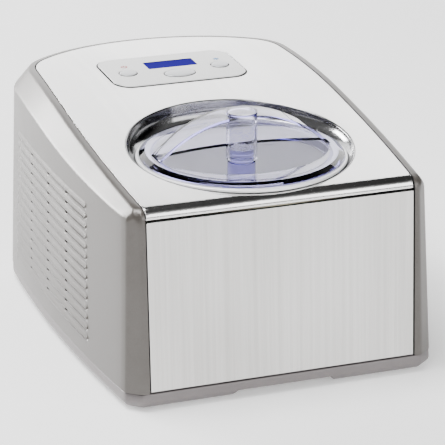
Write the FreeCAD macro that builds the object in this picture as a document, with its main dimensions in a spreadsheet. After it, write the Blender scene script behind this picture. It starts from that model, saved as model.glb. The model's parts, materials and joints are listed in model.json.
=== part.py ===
import FreeCAD, Part
import math
import os
import re

import Sketcher

from FreeCAD import Matrix, Placement, Rotation, Vector

# Countertop ice cream maker with its own compressor.
# Frame: origin on the table below the middle of the appliance, +Z up, the front panel faces -Y.

os.makedirs("parts", exist_ok=True)
doc = FreeCAD.newDocument("ice_cream_maker")

# ---------------------------------------------------------------- driving dimensions (mm)
DIMENSIONS = [
    # plinth and housing
    ("seam_height", 16.0, "top of the base tray, where the housing starts"),
    ("seam_gap", 0.3, "shadow gap between tray and housing"),
    ("front_half", 127.2, "half width of the flat front at the seam"),
    ("front_depth", 206.9, "front face to the middle, at the seam"),
    ("corner_half", 140.4, "half width behind the chamfered front corner"),
    ("corner_depth", 196.2, "front corner chamfer to the middle"),
    ("side_half", 152.5, "largest half width, at the seam"),
    ("side_middle", 5.0, "where the sides are widest"),
    ("rear_depth", 206.9, "rear face to the middle, at the seam"),
    ("rear_bow", 190.0, "radius of the bowed rear"),
    ("rear_corner", 55.0, "radius of the rear corners"),
    ("loft_height", 220.0, "level at which the leaning walls are defined above the seam"),
    ("front_lean", 14.4, "front face leans back this much at the loft level"),
    ("side_lean", 7.6, "sides lean in this much at the loft level"),
    ("corner_lean", 7.2, "front corners lean in this much at the loft level"),
    ("wall", 2.6, "housing wall"),
    ("tray_floor", 1.5, "underside of the base tray"),
    ("tray_wall", 3.0, "base tray wall and floor"),
    ("tray_undercut", 12.0, "how far the tray's lower edge is set in"),
    ("tray_band", 9.0, "bottom of the tray's upright band"),
    ("notch_half", 45.0, "half width of the raised notch at the front of the tray"),
    ("notch_rise", 8.0, "top of the notch"),
    # sloping top
    ("top_at_zero", 197.4, "height of the top above the middle"),
    ("top_slope", 0.1117, "rise of the top per mm towards the rear, in front of the middle"),
    ("top_crown", 1085.0, "radius of the crown behind the middle"),
    ("lip_half", 132.0, "half width of the lip round the top sheet"),
    ("lip_front_half", 125.9, "the same at the front"),
    ("lip_middle", -35.0, "where the lip is widest"),
    ("lip_rear", 198.0, "rear end of the lip"),
    ("bevel_run", 9.3, "width of the bevel for each bevel_drop"),
    ("bevel_drop", 11.5, "height of the bevel for each bevel_run"),
    ("sheet_half", 125.5, "largest half width of the top sheet"),
    ("sheet_front_half", 119.8, "half width of the top sheet at its front bend"),
    ("sheet_rear", 191.8, "rear end of the top sheet"),
    ("sheet_gap", 1.1, "gap round the top sheet and the front sheet"),
    ("sheet", 1.2, "thickness of the stainless sheets"),
    ("bend_height", 166.6, "lower edge of the top sheet's folded front"),
    ("bend_radius", 8.0, "outside radius of that fold"),
    ("panel_half", 120.0, "half width of the front sheet"),
    ("panel_low", 17.4, "lower edge of the front sheet"),
    ("panel_high", 165.4, "upper edge of the front sheet"),
    # louvres
    ("louvre_pitch", 8.97, "distance between louvres"),
    ("louvre_low", 35.2, "height of the lowest louvre"),
    ("louvre_front", -110.0, "front end of the louvres"),
    ("louvre_rear", 102.0, "rear end of the louvres"),
    ("louvre_proud", 1.4, "how far a louvre stands out of the wall"),
    ("louvre_thick", 3.4, "thickness of a louvre"),
    ("vent_length", 5.0, "length of the small vent slots"),
    ("vent_height", 2.4, "height of the small vent slots"),
    # bowl unit
    ("bowl_axis", -98.0, "position of the bowl's axis along Y"),
    ("well_radius", 99.9, "upright wall of the polished well"),
    ("well_fillet", 15.0, "concave fillet between wall and floor of the well"),
    ("well_floor", 175.2, "floor of the well"),
    ("cup_radius", 82.0, "inside of the chilled cup"),
    ("cup_wall", 1.5, "wall of the chilled cup"),
    ("cup_floor", 81.0, "inside floor of the chilled cup"),
    ("cup_top", 173.8, "top of the chilled cup's flange"),
    ("coil_tube", 3.0, "radius of the evaporator tube"),
    ("coil_pitch", 9.0, "distance between its turns"),
    ("foam_radius", 94.5, "outside of the foam jacket"),
    ("foam_inner", 90.0, "inside of the foam jacket"),
    ("foam_base", 71.0, "underside of the foam jacket"),
    ("bowl_radius", 81.0, "outside of the mixing bowl"),
    ("bowl_wall", 1.5, "wall of the mixing bowl"),
    ("bowl_floor", 81.5, "underside of the mixing bowl"),
    ("rim_radius", 90.8, "radius of the middle of the rolled rim"),
    ("rim_height", 178.7, "height of the middle of the rolled rim"),
    ("rim_bead", 1.6, "radius of the rolled rim's bead"),
    ("post_radius", 9.0, "outside of the bowl's centre tube"),
    ("post_top", 126.0, "top of the bowl's centre tube"),
    # lid
    ("plate_radius", 84.0, "edge of the lid's flat plate"),
    ("plate_top", 184.4, "top of the lid's plate"),
    ("plate_thick", 2.2, "thickness of the lid's plate"),
    ("skirt_radius", 89.4, "outer edge of the lid's sloping skirt"),
    ("skirt_low", 180.6, "lower edge of the skirt"),
    ("spigot_radius", 79.0, "outside of the ring that drops into the bowl"),
    ("spigot_low", 172.0, "lower edge of that ring"),
    ("lens_radius", 85.4, "front edge radius of the filling opening"),
    ("lens_front", 65.0, "front edge of the filling opening to the lid's axis"),
    ("lens_rear", 17.9, "rear edge of the filling opening behind the lid's axis"),
    ("web_radius", 236.0, "radius of the upright web behind the filling opening"),
    ("strap_half", 10.0, "half width of the arched strap"),
    ("strap_thick", 2.4, "thickness of the strap"),
    ("strap_radius", 112.0, "outside radius of the arch"),
    ("strap_top", 217.6, "top of the arch"),
    ("tube_radius", 13.6, "outside of the lid's centre tube"),
    ("tube_wall", 1.8, "wall of the centre tube"),
    ("tube_top", 219.2, "top of the centre tube"),
    ("tube_low", 177.0, "lower end of the centre tube"),
    # paddle and drive
    ("hub_radius", 12.4, "outside of the paddle's hub"),
    ("hub_low", 92.0, "lower end of the paddle's hub"),
    ("stem_radius", 10.6, "paddle stem inside the lid's tube"),
    ("stem_top", 186.0, "top of the paddle stem"),
    ("blade_reach", 76.0, "how far a blade reaches"),
    ("blade_low", 88.0, "lower edge of the blades"),
    ("blade_high", 152.0, "upper edge of the blades"),
    ("blade_bar", 8.0, "width of a blade's bars"),
    ("blade_thick", 5.0, "thickness of a blade"),
    ("shaft_radius", 4.0, "drive shaft"),
    ("shaft_top", 128.0, "where the shaft turns hexagonal"),
    ("hex_top", 139.0, "tip of the shaft's hexagon"),
    ("hex_flats", 7.0, "hexagon across flats"),
    ("running_gap", 0.05, "radial clearance of a running fit"),
    # gearbox
    ("case_low", 42.0, "underside of the gearbox"),
    ("case_high", 68.0, "top of the gearbox case"),
    ("case_half", 55.0, "half width of the gearbox"),
    ("case_wall", 2.0, "gearbox wall"),
    ("output_level", 58.5, "lower face of the output gear"),
    ("input_level", 48.5, "lower face of the idler's large gear"),
    ("gear_height", 6.0, "face width of the gears"),
    ("output_module", 2.0, "tooth module of the output pair"),
    ("input_module", 1.25, "tooth module of the input pair"),
    ("large_teeth", 48, "teeth of both large gears"),
    ("small_teeth", 16, "teeth of both small gears"),
    ("motor_radius", 24.0, "gear motor"),
    ("motor_low", 10.0, "underside of the gear motor"),
    # refrigeration
    ("compressor_x", 62.0, "compressor position along X"),
    ("compressor_y", 112.0, "compressor position along Y"),
    ("compressor_radius", 50.0, "compressor shell"),
    ("compressor_low", 20.0, "underside of the compressor shell"),
    ("compressor_high", 132.0, "top of the compressor shell"),
    ("condenser_x", -132.0, "outer face of the condenser"),
    ("condenser_thick", 20.0, "depth of the condenser"),
    ("fan_y", 65.0, "fan axis along Y"),
    ("fan_z", 82.0, "height of the fan axis"),
    ("fan_radius", 48.0, "fan blades"),
    # control panel
    ("bezel_half", 64.0, "half width of the control bezel"),
    ("bezel_front", 49.0, "front edge of the control bezel"),
    ("bezel_rear", 127.0, "rear edge of the control bezel"),
    ("bezel_corner", 16.0, "corner radius of the control bezel"),
    ("bezel_proud", 0.9, "the bezel stands out of the top sheet by this much"),
    ("bezel_thick", 3.4, "thickness of the bezel"),
    ("bezel_gap", 0.8, "gap round the bezel"),
    ("button_proud", 1.6, "the buttons stand out of the top sheet by this much"),
    ("display_x", 2.0, "middle of the display along X"),
    ("display_y", 98.5, "middle of the display along Y"),
    ("display_half_x", 24.0, "half width of the display"),
    ("display_half_y", 10.0, "half depth of the display"),
    ("button_travel", 1.0, "how far a button can be pressed"),
    ("board_height", 191.0, "underside of the control board"),
]

sheet = doc.addObject("Spreadsheet::Sheet", "Dimensions")
for row, (alias, value, meaning) in enumerate(DIMENSIONS, start=1):
    sheet.set(f"A{row}", meaning)
    sheet.set(f"B{row}", str(value))
    sheet.setAlias(f"B{row}", alias)
doc.recompute()

ALIASES = {alias for alias, value, meaning in DIMENSIONS}
PARTS = []


def dim(alias):
    """Value of one cell of the sheet."""
    return float(sheet.get(alias))


def formula(text):
    """Expression text in which each sheet alias is written out in full."""
    def full_name(word):
        return "Dimensions." + word[0] if word[0] in ALIASES else word[0]

    return re.sub(r"[a-z_]+", full_name, str(text))


# ---------------------------------------------------------------- building helpers
def keep(obj, label):
    """Names a finished sub-part and puts it on the list of parts to write."""
    obj.Label = label
    PARTS.append(obj)
    return obj


def feature(label, shape):
    """A sub-part whose shape is computed from the sheet's values."""
    obj = doc.addObject("Part::Feature", label)
    obj.Shape = shape
    return keep(obj, label)


def place(obj, position):
    """Binds an object's position to formulas."""
    for axis, text in zip("xyz", position):
        obj.setExpression("Placement.Base." + axis, formula(text))


def primitive(kind, name, sizes, position=("0", "0", "0"), axis=None):
    """A Part primitive with sizes and position bound to formulas; axis turns its Z onto that axis."""
    obj = doc.addObject("Part::" + kind, name)
    if axis is not None:
        obj.Placement = Placement(Vector(), Rotation(Vector(0, 0, 1), axis))
    for size, text in sizes.items():
        obj.setExpression(size, formula(text))
    place(obj, position)
    return obj


def cylinder(name, radius, height, position, axis=None):
    return primitive("Cylinder", name, {"Radius": radius, "Height": height}, position, axis)


def box(name, low, high):
    """A box between two corners given as formulas."""
    sizes = {side: f"({b}) - ({a})" for side, a, b in zip(("Length", "Width", "Height"), low, high)}
    return primitive("Box", name, sizes, low)


def fused(name, *pieces):
    obj = doc.addObject("Part::MultiFuse", name)
    obj.Shapes = list(pieces)
    return obj


def cut(name, base, *tools):
    obj = doc.addObject("Part::Cut", name)
    obj.Base = base
    obj.Tool = tools[0] if len(tools) == 1 else fused(name + "_tools", *tools)
    return obj


def group(name, *pieces):
    """Separate solids of one node."""
    obj = doc.addObject("Part::Compound", name)
    obj.Links = list(pieces)
    return obj


def turned(label, profile, position=("0", "bowl_axis", "0")):
    """A turned piece: a closed profile of (radius, height) formulas revolved about its own Z axis."""
    body = doc.addObject("PartDesign::Body", label + "_body")
    upright = next(f for f in body.Origin.OriginFeatures if f.Role == "XZ_Plane")
    sketch = body.newObject("Sketcher::SketchObject", label + "_profile")
    sketch.AttachmentSupport = [(upright, "")]
    sketch.MapMode = "FlatFace"
    corners = [Vector(*(evaluate(text) for text in point), 0) for point in profile]
    count = len(corners)
    for index in range(count):
        sketch.addGeometry(Part.LineSegment(corners[index], corners[(index + 1) % count]), False)
    for index in range(count):
        sketch.addConstraint(Sketcher.Constraint("Coincident", index, 2, (index + 1) % count, 1))
    for index, point in enumerate(profile):
        for kind, text, axis_line in (("DistanceX", point[0], -2), ("DistanceY", point[1], -1)):
            value = evaluate(text)
            if value == 0:
                sketch.addConstraint(Sketcher.Constraint("PointOnObject", index, 1, axis_line))
                continue
            number = sketch.addConstraint(Sketcher.Constraint(kind, -1, 1, index, 1, value))
            sketch.setExpression(f"Constraints[{number}]", formula(text))
    turn = body.newObject("PartDesign::Revolution", label + "_turn")
    turn.Profile = sketch
    turn.ReferenceAxis = (sketch, ["V_Axis"])
    turn.Angle = 360.0
    sketch.Visibility = False
    place(body, position)
    return body


def evaluate(text):
    """Number that a formula gives with the sheet's present values."""
    return float(sheet.evalExpression(formula(text)))


def turned_shape(edges):
    """Solid of revolution about the bowl's axis from edges in the XZ plane."""
    face = Part.Face(Part.Wire(edges))
    solid = face.revolve(Vector(0, 0, 0), Vector(0, 0, 1), 360)
    solid.translate(Vector(0, dim("bowl_axis"), 0))
    return solid


def polygon(points):
    """Closed wire through points."""
    return Part.makePolygon([Vector(*point) for point in points] + [Vector(*points[0])])


def prism(points, height_vector):
    """Solid swept from a closed polygon along a vector."""
    return Part.Face(polygon(points)).extrude(Vector(*height_vector))


def pipe_shape(points, radius):
    """A rigid tube through points, with rounded elbows."""
    route = [Vector(*point) for point in points]
    shape = None
    for start, end in zip(route, route[1:]):
        run = Part.makeCylinder(radius, (end - start).Length, start, end - start)
        shape = run if shape is None else shape.fuse(run)
    for elbow in route[1:-1]:
        shape = shape.fuse(Part.makeSphere(radius, elbow))
    return shape.removeSplitter()


# ---------------------------------------------------------------- housing geometry
def side_radius(corner, widest):
    """Radius of a bowed side through its front corner, with its middle at the widest point."""
    run = widest[0] - corner[0]
    rise = widest[1] - corner[1]
    return (run * run + rise * rise) / (2 * run)


def plan_outline(front, corner, widest, rear, rear_radius, corner_radius, level):
    """Closed outline: flat front, chamfered front corners, bowed sides and a bowed rear."""
    radius = side_radius(corner, widest)
    side_centre = Vector(widest[0] - radius, widest[1], 0)
    rear_centre = Vector(0, rear - rear_radius, 0)
    to_side = radius - corner_radius
    to_rear = rear_radius - corner_radius
    apart = rear_centre - side_centre
    along = (to_side ** 2 - to_rear ** 2 + apart.Length ** 2) / (2 * apart.Length)
    across = math.sqrt(to_side ** 2 - along ** 2)
    unit = apart / apart.Length
    centre = side_centre + unit * along + Vector(-unit.y, unit.x, 0) * across
    if centre.y < rear_centre.y and centre.x < 0:
        centre = side_centre + unit * along - Vector(-unit.y, unit.x, 0) * across
    side_end = side_centre + (centre - side_centre) * (radius / to_side)
    rear_start = rear_centre + (centre - rear_centre) * (rear_radius / to_rear)
    middle = (side_end + rear_start) / 2 - centre
    turn = centre + middle * (corner_radius / middle.Length)
    halfway = (Vector(*corner, 0) + side_end) / 2 - side_centre
    side_mid = side_centre + halfway * (radius / halfway.Length)
    right = [Vector(*front, 0), Vector(*corner, 0), side_mid, side_end, turn, rear_start]
    right = [Vector(point.x, point.y, level) for point in right]
    left = [Vector(-point.x, point.y, level) for point in right]
    back = Vector(0, rear, level)
    edges = [
        Part.makeLine(left[0], right[0]),
        Part.makeLine(right[0], right[1]),
        Part.Arc(right[1], right[2], right[3]).toShape(),
        Part.Arc(right[3], right[4], right[5]).toShape(),
        Part.Arc(right[5], back, left[5]).toShape(),
        Part.Arc(left[5], left[4], left[3]).toShape(),
        Part.Arc(left[3], left[2], left[1]).toShape(),
        Part.makeLine(left[1], left[0]),
    ]
    return Part.Wire(edges)


def wall_outline(level, inset):
    """Outline of the leaning housing walls at a level, moved in by inset."""
    lean = (level - dim("seam_height")) / (dim("loft_height") - dim("seam_height"))
    front_y = -dim("front_depth") + lean * dim("front_lean") + inset
    front = (dim("front_half") - lean * 0.4 * dim("side_lean") - inset, front_y)
    corner_y = -dim("corner_depth") + lean * dim("front_lean") + 0.6 * inset
    corner = (dim("corner_half") - lean * dim("corner_lean") - inset, corner_y)
    widest = (dim("side_half") - lean * dim("side_lean") - inset, dim("side_middle"))
    rear = dim("rear_depth") - lean * 0.25 * dim("side_lean") - inset
    bow, rear_corner = dim("rear_bow") - inset, dim("rear_corner") - inset
    return plan_outline(front, corner, widest, rear, bow, rear_corner, level)


def walls(low, high, inset):
    """Solid between two levels inside the housing walls."""
    return Part.makeLoft([wall_outline(low, inset), wall_outline(high, inset)], True, True)


def top_height(y):
    """Height of the top surface."""
    crown = y * y / (2 * dim("top_crown")) if y > 0 else 0.0
    return dim("top_at_zero") + dim("top_slope") * y - crown


TOP_STATIONS = (-230.0, 0.0, 40.0, 80.0, 120.0, 160.0, 230.0)


def follow_top(shape):
    """Bends a flat-topped shape, given with its top at height 0, to the slope of the top surface."""
    pieces = []
    for start, end in zip(TOP_STATIONS, TOP_STATIONS[1:]):
        slope = (top_height(end) - top_height(start)) / (end - start)
        shear = Matrix(1, 0, 0, 0, 0, 1, 0, 0, 0, slope, 1, top_height(start) - slope * start, 0, 0, 0, 1)
        slab = Part.makeBox(400, end - start, 400, Vector(-200, start, 0))
        pieces.append(shape.transformGeometry(shear).common(slab))
    return pieces[0].multiFuse(pieces[1:])


def lip_outline(height, spread):
    """Outline of the lip round the top sheet at a height over the top, moved out by spread."""
    reach = -dim("lip_middle") + 10.0
    front = (dim("lip_front_half") - 2.0 + spread, dim("lip_middle") - reach - 145.0)
    corner = (dim("lip_front_half") - 1.0 + spread, dim("lip_middle") - reach - 140.0)
    widest = (dim("lip_half") + spread, dim("lip_middle"))
    rear = dim("lip_rear") + spread
    return plan_outline(front, corner, widest, rear, 165.0 + spread, 50.0 + spread, height)


def bevelled_block(depth, inset):
    """Block whose upper edge is bevelled outwards from the lip, starting depth under the top."""
    fall = 60.0
    spread = fall * dim("bevel_run") / dim("bevel_drop")
    upper = lip_outline(-depth, -0.5 * inset)
    lower = lip_outline(-depth - fall, spread - 0.5 * inset)
    block = Part.makeLoft([upper, lower], True, True)
    skirt = Part.Face(lower).extrude(Vector(0, 0, -230))
    return follow_top(block.fuse(skirt))


def sheet_outline(grow, level):
    """Outline of the top sheet, moved out by grow."""
    front_y = -dim("front_depth") - 10.0
    front = (dim("sheet_front_half") - 1.5 + grow, front_y)
    corner = (dim("sheet_front_half") - 1.0 + grow, front_y + 5.0)
    widest = (dim("sheet_half") + grow, dim("lip_middle"))
    rear = dim("sheet_rear") + grow
    return plan_outline(front, corner, widest, rear, 160.0 + grow, 45.0 + grow, level)


def sheet_prism(grow):
    return Part.Face(sheet_outline(grow, 100.0)).extrude(Vector(0, 0, 150))


def top_profile(drop):
    """Side view of the top, drop under its surface: straight slope, then a crown to the rear."""
    rear = 225.0
    start = Vector(0, -230.0, top_height(-230.0) - drop)
    ridge = Vector(0, 0, top_height(0) - drop)
    middle = Vector(0, rear / 2, top_height(rear / 2) - drop)
    end = Vector(0, rear, top_height(rear) - drop)
    return [Part.makeLine(start, ridge), Part.Arc(ridge, middle, end).toShape()]


def under_top(drop, floor=0.0):
    """Everything below the top surface lowered by drop, down to floor."""
    edges = top_profile(drop)
    start = edges[0].Vertexes[0].Point
    end = edges[1].Vertexes[-1].Point
    low_end = Vector(0, end.y, floor)
    low_start = Vector(0, start.y, floor)
    corners = [end, low_end, low_start, start]
    closing = [Part.makeLine(a, b) for a, b in zip(corners, corners[1:])]
    face = Part.Face(Part.Wire(edges + closing))
    face.translate(Vector(-200, 0, 0))
    return face.extrude(Vector(400, 0, 0))


def top_layer(drop, thickness):
    """Layer that follows the top surface."""
    return under_top(drop).cut(under_top(drop + thickness))


def front_y(level):
    """Position of the leaning front face at a level."""
    lean = (level - dim("seam_height")) / (dim("loft_height") - dim("seam_height"))
    return -dim("front_depth") + lean * dim("front_lean")


def front_slab(half, low, high, set_back, thickness):
    """Upright sheet parallel to the leaning front face."""
    points = [
        (-half, front_y(low) + set_back, low),
        (-half, front_y(low) + set_back + thickness, low),
        (-half, front_y(high) + set_back + thickness, high),
        (-half, front_y(high) + set_back, high),
    ]
    return prism(points, (2 * half, 0, 0))


def well_plug(skin):
    """Inside of the polished well, grown by skin: upright wall, concave fillet, flat floor, open top."""
    radius = dim("well_radius") + skin
    fillet = dim("well_fillet") + skin
    floor = dim("well_floor") - skin
    fillet_x = radius - fillet
    fillet_z = floor + fillet
    diagonal = fillet * math.sqrt(0.5)
    top = 230.0
    bend_middle = Vector(fillet_x + diagonal, 0, fillet_z - diagonal)
    bend = Part.Arc(Vector(fillet_x, 0, floor), bend_middle, Vector(radius, 0, fillet_z)).toShape()
    corners = [Vector(radius, 0, fillet_z), Vector(radius, 0, top), Vector(0, 0, top), Vector(0, 0, floor)]
    corners.append(Vector(fillet_x, 0, floor))
    edges = [bend] + [Part.makeLine(a, b) for a, b in zip(corners, corners[1:])]
    return turned_shape(edges)


# ---------------------------------------------------------------- base tray and feet
TRAY_BOTTOM = dim("tray_floor")
FOOT_PLACES = [(108.0, -160.0), (-108.0, -160.0), (95.0, 140.0), (-95.0, 140.0)]
SCREW_PLACES_RIGHT = [(112.0, -120.0), (127.0, -30.0), (50.0, 171.0)]
SCREW_PLACES = [(sign * x, y) for x, y in SCREW_PLACES_RIGHT for sign in (-1, 1)]
GEARBOX_POSTS = [(x, y) for x in (-48.0, 48.0) for y in (-145.0, 15.0)]
MOTOR_AXIS_Y = dim("bowl_axis") + 0.5 * dim("output_module") * (dim("large_teeth") + dim("small_teeth"))
MOTOR_AXIS_Y += 0.5 * dim("input_module") * (dim("large_teeth") + dim("small_teeth"))
POST_SPREAD = (-42.0, 42.0)
COMPRESSOR_POSTS = [
    (dim("compressor_x") + x, dim("compressor_y") + y)
    for x in POST_SPREAD
    for y in POST_SPREAD
]


def build_base_tray():
    undercut = dim("tray_undercut")
    band = dim("tray_band")
    height = dim("seam_height")
    wall = dim("tray_wall")
    low = wall_outline(band, undercut)
    low.translate(Vector(0, 0, TRAY_BOTTOM - band))
    foot = Part.makeLoft([low, wall_outline(band, 0.6)], True, True)
    rim = walls(band, height, 0.6)
    inner_low = wall_outline(band, undercut + wall)
    inner_low.translate(Vector(0, 0, TRAY_BOTTOM + wall - band))
    hollow = Part.makeLoft([inner_low, wall_outline(band + 1.0, 0.6 + wall)], True, True)
    hollow = hollow.fuse(walls(band + 1.0, height + 5.0, 0.6 + wall))
    tray = foot.fuse(rim).cut(hollow)
    notch_half = dim("notch_half")
    notch_top = dim("notch_rise")
    notch = [(-notch_half - 5, -220, 0), (-notch_half + 3, -220, notch_top),
             (notch_half - 3, -220, notch_top), (notch_half + 5, -220, 0)]
    ceiling = [(x, y, z + 2.0 if z else z) for x, y, z in notch]
    shroud = prism(ceiling, (0, 32, 0)).common(foot.fuse(rim))
    tray = tray.fuse(shroud).cut(prism(notch, (0, 30, 0)))
    posts = [(x, y, 5.0, dim("case_low")) for x, y in GEARBOX_POSTS]
    posts += [(x, y, 7.0, 10.0) for x, y in COMPRESSOR_POSTS]
    for x, y, radius, top in posts:
        tray = tray.fuse(Part.makeCylinder(radius, top - TRAY_BOTTOM, Vector(x, y, TRAY_BOTTOM)))
    motor_foot = Vector(0, MOTOR_AXIS_Y, TRAY_BOTTOM)
    motor_seat = Part.makeCylinder(dim("motor_radius"), dim("motor_low") - TRAY_BOTTOM, motor_foot)
    tray = tray.fuse(motor_seat)
    for x, y in FOOT_PLACES:
        tray = tray.cut(Part.makeCylinder(4.0, 10.0, Vector(x, y, 0)))
    for x, y in SCREW_PLACES:
        tray = tray.cut(Part.makeCylinder(1.9, 10.0, Vector(x, y, 0)))
        tray = tray.cut(Part.makeCylinder(3.6, 1.6, Vector(x, y, TRAY_BOTTOM)))
    feature("base_tray", tray.removeSplitter())


def build_feet():
    feet = []
    for number, (x, y) in enumerate(FOOT_PLACES):
        pad = cylinder(f"foot_pad_{number}", "9", "tray_floor", (x, y, 0))
        stud = cylinder(f"foot_stud_{number}", "4", "tray_floor + tray_wall + 1", (x, y, 0))
        feet.append(fused(f"foot_{number}", pad, stud))
    keep(group("rubber_feet", *feet), "rubber_feet")


# ---------------------------------------------------------------- housing, sheets, deck
def build_housing():
    wall = dim("wall")
    start = dim("seam_height") + dim("seam_gap")
    outer = walls(start, dim("loft_height") + 10.0, 0.0).common(bevelled_block(0.0, 0.0))
    inner = walls(5.0, dim("loft_height") + 10.0, wall).common(bevelled_block(wall, wall))
    shell = outer.cut(inner)
    gap = dim("sheet_gap")
    shell = shell.cut(sheet_prism(gap))
    hole_low, hole_high = dim("panel_low") - gap, dim("panel_high") + gap
    front_hole = front_slab(dim("panel_half") + gap, hole_low, hole_high, -5.0, 14.0)
    shell = shell.cut(front_hole)
    # louvres on both sides
    pitch = dim("louvre_pitch")
    length = dim("louvre_rear") - dim("louvre_front")
    thick = dim("louvre_thick")
    blanket = walls(start, 180.0, -dim("louvre_proud")).cut(walls(start - 1, 181.0, 0.5 * wall))
    slats = []
    for index in range(14):
        level = dim("louvre_low") + index * pitch
        slat = Part.makeBox(400, length, thick, Vector(-200, dim("louvre_front"), level - thick / 2))
        slats.append(slat)
    shell = shell.fuse(blanket.common(Part.makeCompound(slats)))
    slots = []
    for index in range(13):
        level = dim("louvre_low") + (index + 0.5) * pitch
        for y in (-61.0, -8.5, 46.5):
            corner = Vector(-200, y - dim("vent_length") / 2, level - dim("vent_height") / 2)
            slots.append(Part.makeBox(400, dim("vent_length"), dim("vent_height"), corner))
    for x, y in SCREW_PLACES:
        post = Part.makeCylinder(4.5, 36.0, Vector(x, y, TRAY_BOTTOM + dim("tray_wall") + 0.2))
        if abs(y) > 150:
            rib = Part.makeBox(3.0, 60.0, 18.0, Vector(x - 1.5, y, 20.0))
        else:
            rib = Part.makeBox(60.0, 3.0, 18.0, Vector(x if x > 0 else x - 60.0, y - 1.5, 20.0))
        inside = walls(4.0, 100.0, 0.5 * wall)
        shell = shell.fuse(post.fuse(rib).common(inside))
        shell = shell.cut(Part.makeCylinder(1.6, 20.0, Vector(x, y, 0)))
    shell = shell.cut(Part.makeCompound(slots))
    gland_hole = Part.makeCylinder(7.0, 60.0, Vector(0, 170, 32.0), Vector(0, 1, 0))
    shell = shell.cut(gland_hole)
    feature("outer_housing", shell.removeSplitter())


def build_sheets():
    thick = dim("sheet")
    gap = dim("sheet_gap")
    feature("front_panel", front_slab(dim("panel_half"), dim("panel_low"), dim("panel_high"), 0.4, thick))
    # top sheet: folded front, sloping flat, crowned rear
    low = dim("bend_height")
    radius = dim("bend_radius")
    lower = Vector(0, front_y(low) + 0.4, low)
    bend_z = top_height(front_y(176.0)) - radius
    bend_start = Vector(0, front_y(bend_z) + 0.4, bend_z)
    bend_end = Vector(0, bend_start.y + radius, top_height(bend_start.y + radius))
    bend_mid = Vector(0, bend_start.y + 0.27 * radius, bend_z + 0.7 * radius)
    ridge = Vector(0, 0, top_height(0))
    rear = dim("sheet_rear") + 20.0
    crown = Vector(0, rear / 2, top_height(rear / 2))
    end = Vector(0, rear, top_height(rear))
    outline = [lower, bend_start, bend_mid, bend_end, ridge, crown, end]
    inward = Vector(0, thick, 0)
    inside = [outline[0] + inward, outline[1] + inward, outline[2] + Vector(0, 0.8 * thick, -0.75 * thick)]
    inside += [point + Vector(0, 0, -thick) for point in outline[3:]]

    def skin(points):
        return [
            Part.makeLine(points[0], points[1]),
            Part.Arc(points[1], points[2], points[3]).toShape(),
            Part.makeLine(points[3], points[4]),
            Part.Arc(points[4], points[5], points[6]).toShape(),
        ]

    ends = [Part.makeLine(end, inside[-1]), Part.makeLine(inside[0], lower)]
    edges = skin(outline) + skin(inside) + ends
    section = Part.Face(Part.Wire(Part.__sortEdges__(edges)))
    section.translate(Vector(-200, 0, 0))
    sheet_body = section.extrude(Vector(400, 0, 0)).common(sheet_prism(0.0))
    plug = well_plug(thick + 0.1)
    sheet_body = sheet_body.cut(plug).cut(bezel_prism(dim("bezel_gap")))
    feature("top_panel", sheet_body)
    # polished well
    throat_foot = Vector(0, dim("bowl_axis"), dim("well_floor") - 10.0)
    throat = Part.makeCylinder(dim("cup_radius") + 0.6, 20.0, throat_foot)
    ring = well_plug(thick).cut(well_plug(0.0)).cut(throat).common(under_top(0.0))
    feature("recess_ring", ring)
    # deck that carries both sheets, the well and the board
    behind_fold = Part.makeBox(400, 400, 100, Vector(-200, bend_end.y + 0.5, 150))
    deck = top_layer(thick + 0.05, 3.0).common(sheet_prism(-0.3)).common(behind_fold)
    flange = top_layer(dim("wall") + 0.6, 2.2).common(sheet_prism(2.5)).common(behind_fold)
    deck = deck.fuse(flange)
    well_hole_radius = dim("well_radius") + thick + 0.3
    well_hole = Part.makeCylinder(well_hole_radius, 100.0, Vector(0, dim("bowl_axis"), 120.0))
    bezel_seat = bezel_prism(dim("bezel_gap")).cut(under_top(2.7))
    deck = deck.cut(well_hole).cut(bezel_seat)
    deck = deck.cut(Part.makeBox(116, 72, 60, Vector(-58, 53, 170)))
    for x, y in BOARD_POSTS:
        post = Part.makeCylinder(3.2, 30.0, Vector(x, y, dim("board_height") + BOARD_THICK))
        deck = deck.fuse(post.common(under_top(2.8)))
        deck = deck.cut(Part.makeCylinder(1.2, 8.0, Vector(x, y, dim("board_height"))))
    feature("deck_frame", deck.removeSplitter())


# ---------------------------------------------------------------- control panel
BOARD_THICK = 1.6
BOARD_POSTS = [(x, y) for x in (-61.5, 61.5) for y in (58.0, 118.0)]
BUTTONS = [
    ("power_button", -44.0, 83.5, 9.0, 8.5),
    ("start_button", 2.0, 70.5, 15.5, 10.0),
    ("chill_button", 45.5, 82.0, 9.0, 8.5),
]


def rounded_face(low, high, radius, level):
    """Rectangle with rounded corners."""
    solid = Part.makeBox(high[0] - low[0], high[1] - low[1], 60, Vector(low[0], low[1], level))
    upright = [edge for edge in solid.Edges if abs(edge.tangentAt(edge.FirstParameter).z) > 0.9]
    return solid.makeFillet(radius, upright)


def bezel_prism(grow):
    half = dim("bezel_half") + grow
    low = (-half, dim("bezel_front") - grow)
    high = (half, dim("bezel_rear") + grow)
    return rounded_face(low, high, dim("bezel_corner") + grow, 170.0)


def oval(x, y, half_x, half_y, low, height):
    """Upright oval cylinder."""
    long, short = max(half_x, half_y), min(half_x, half_y)
    ellipse = Part.Ellipse(Vector(0, 0, 0), long, short)
    face = Part.Face(Part.Wire([ellipse.toShape()]))
    solid = face.extrude(Vector(0, 0, height))
    solid.translate(Vector(x, y, low))
    return solid


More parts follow.
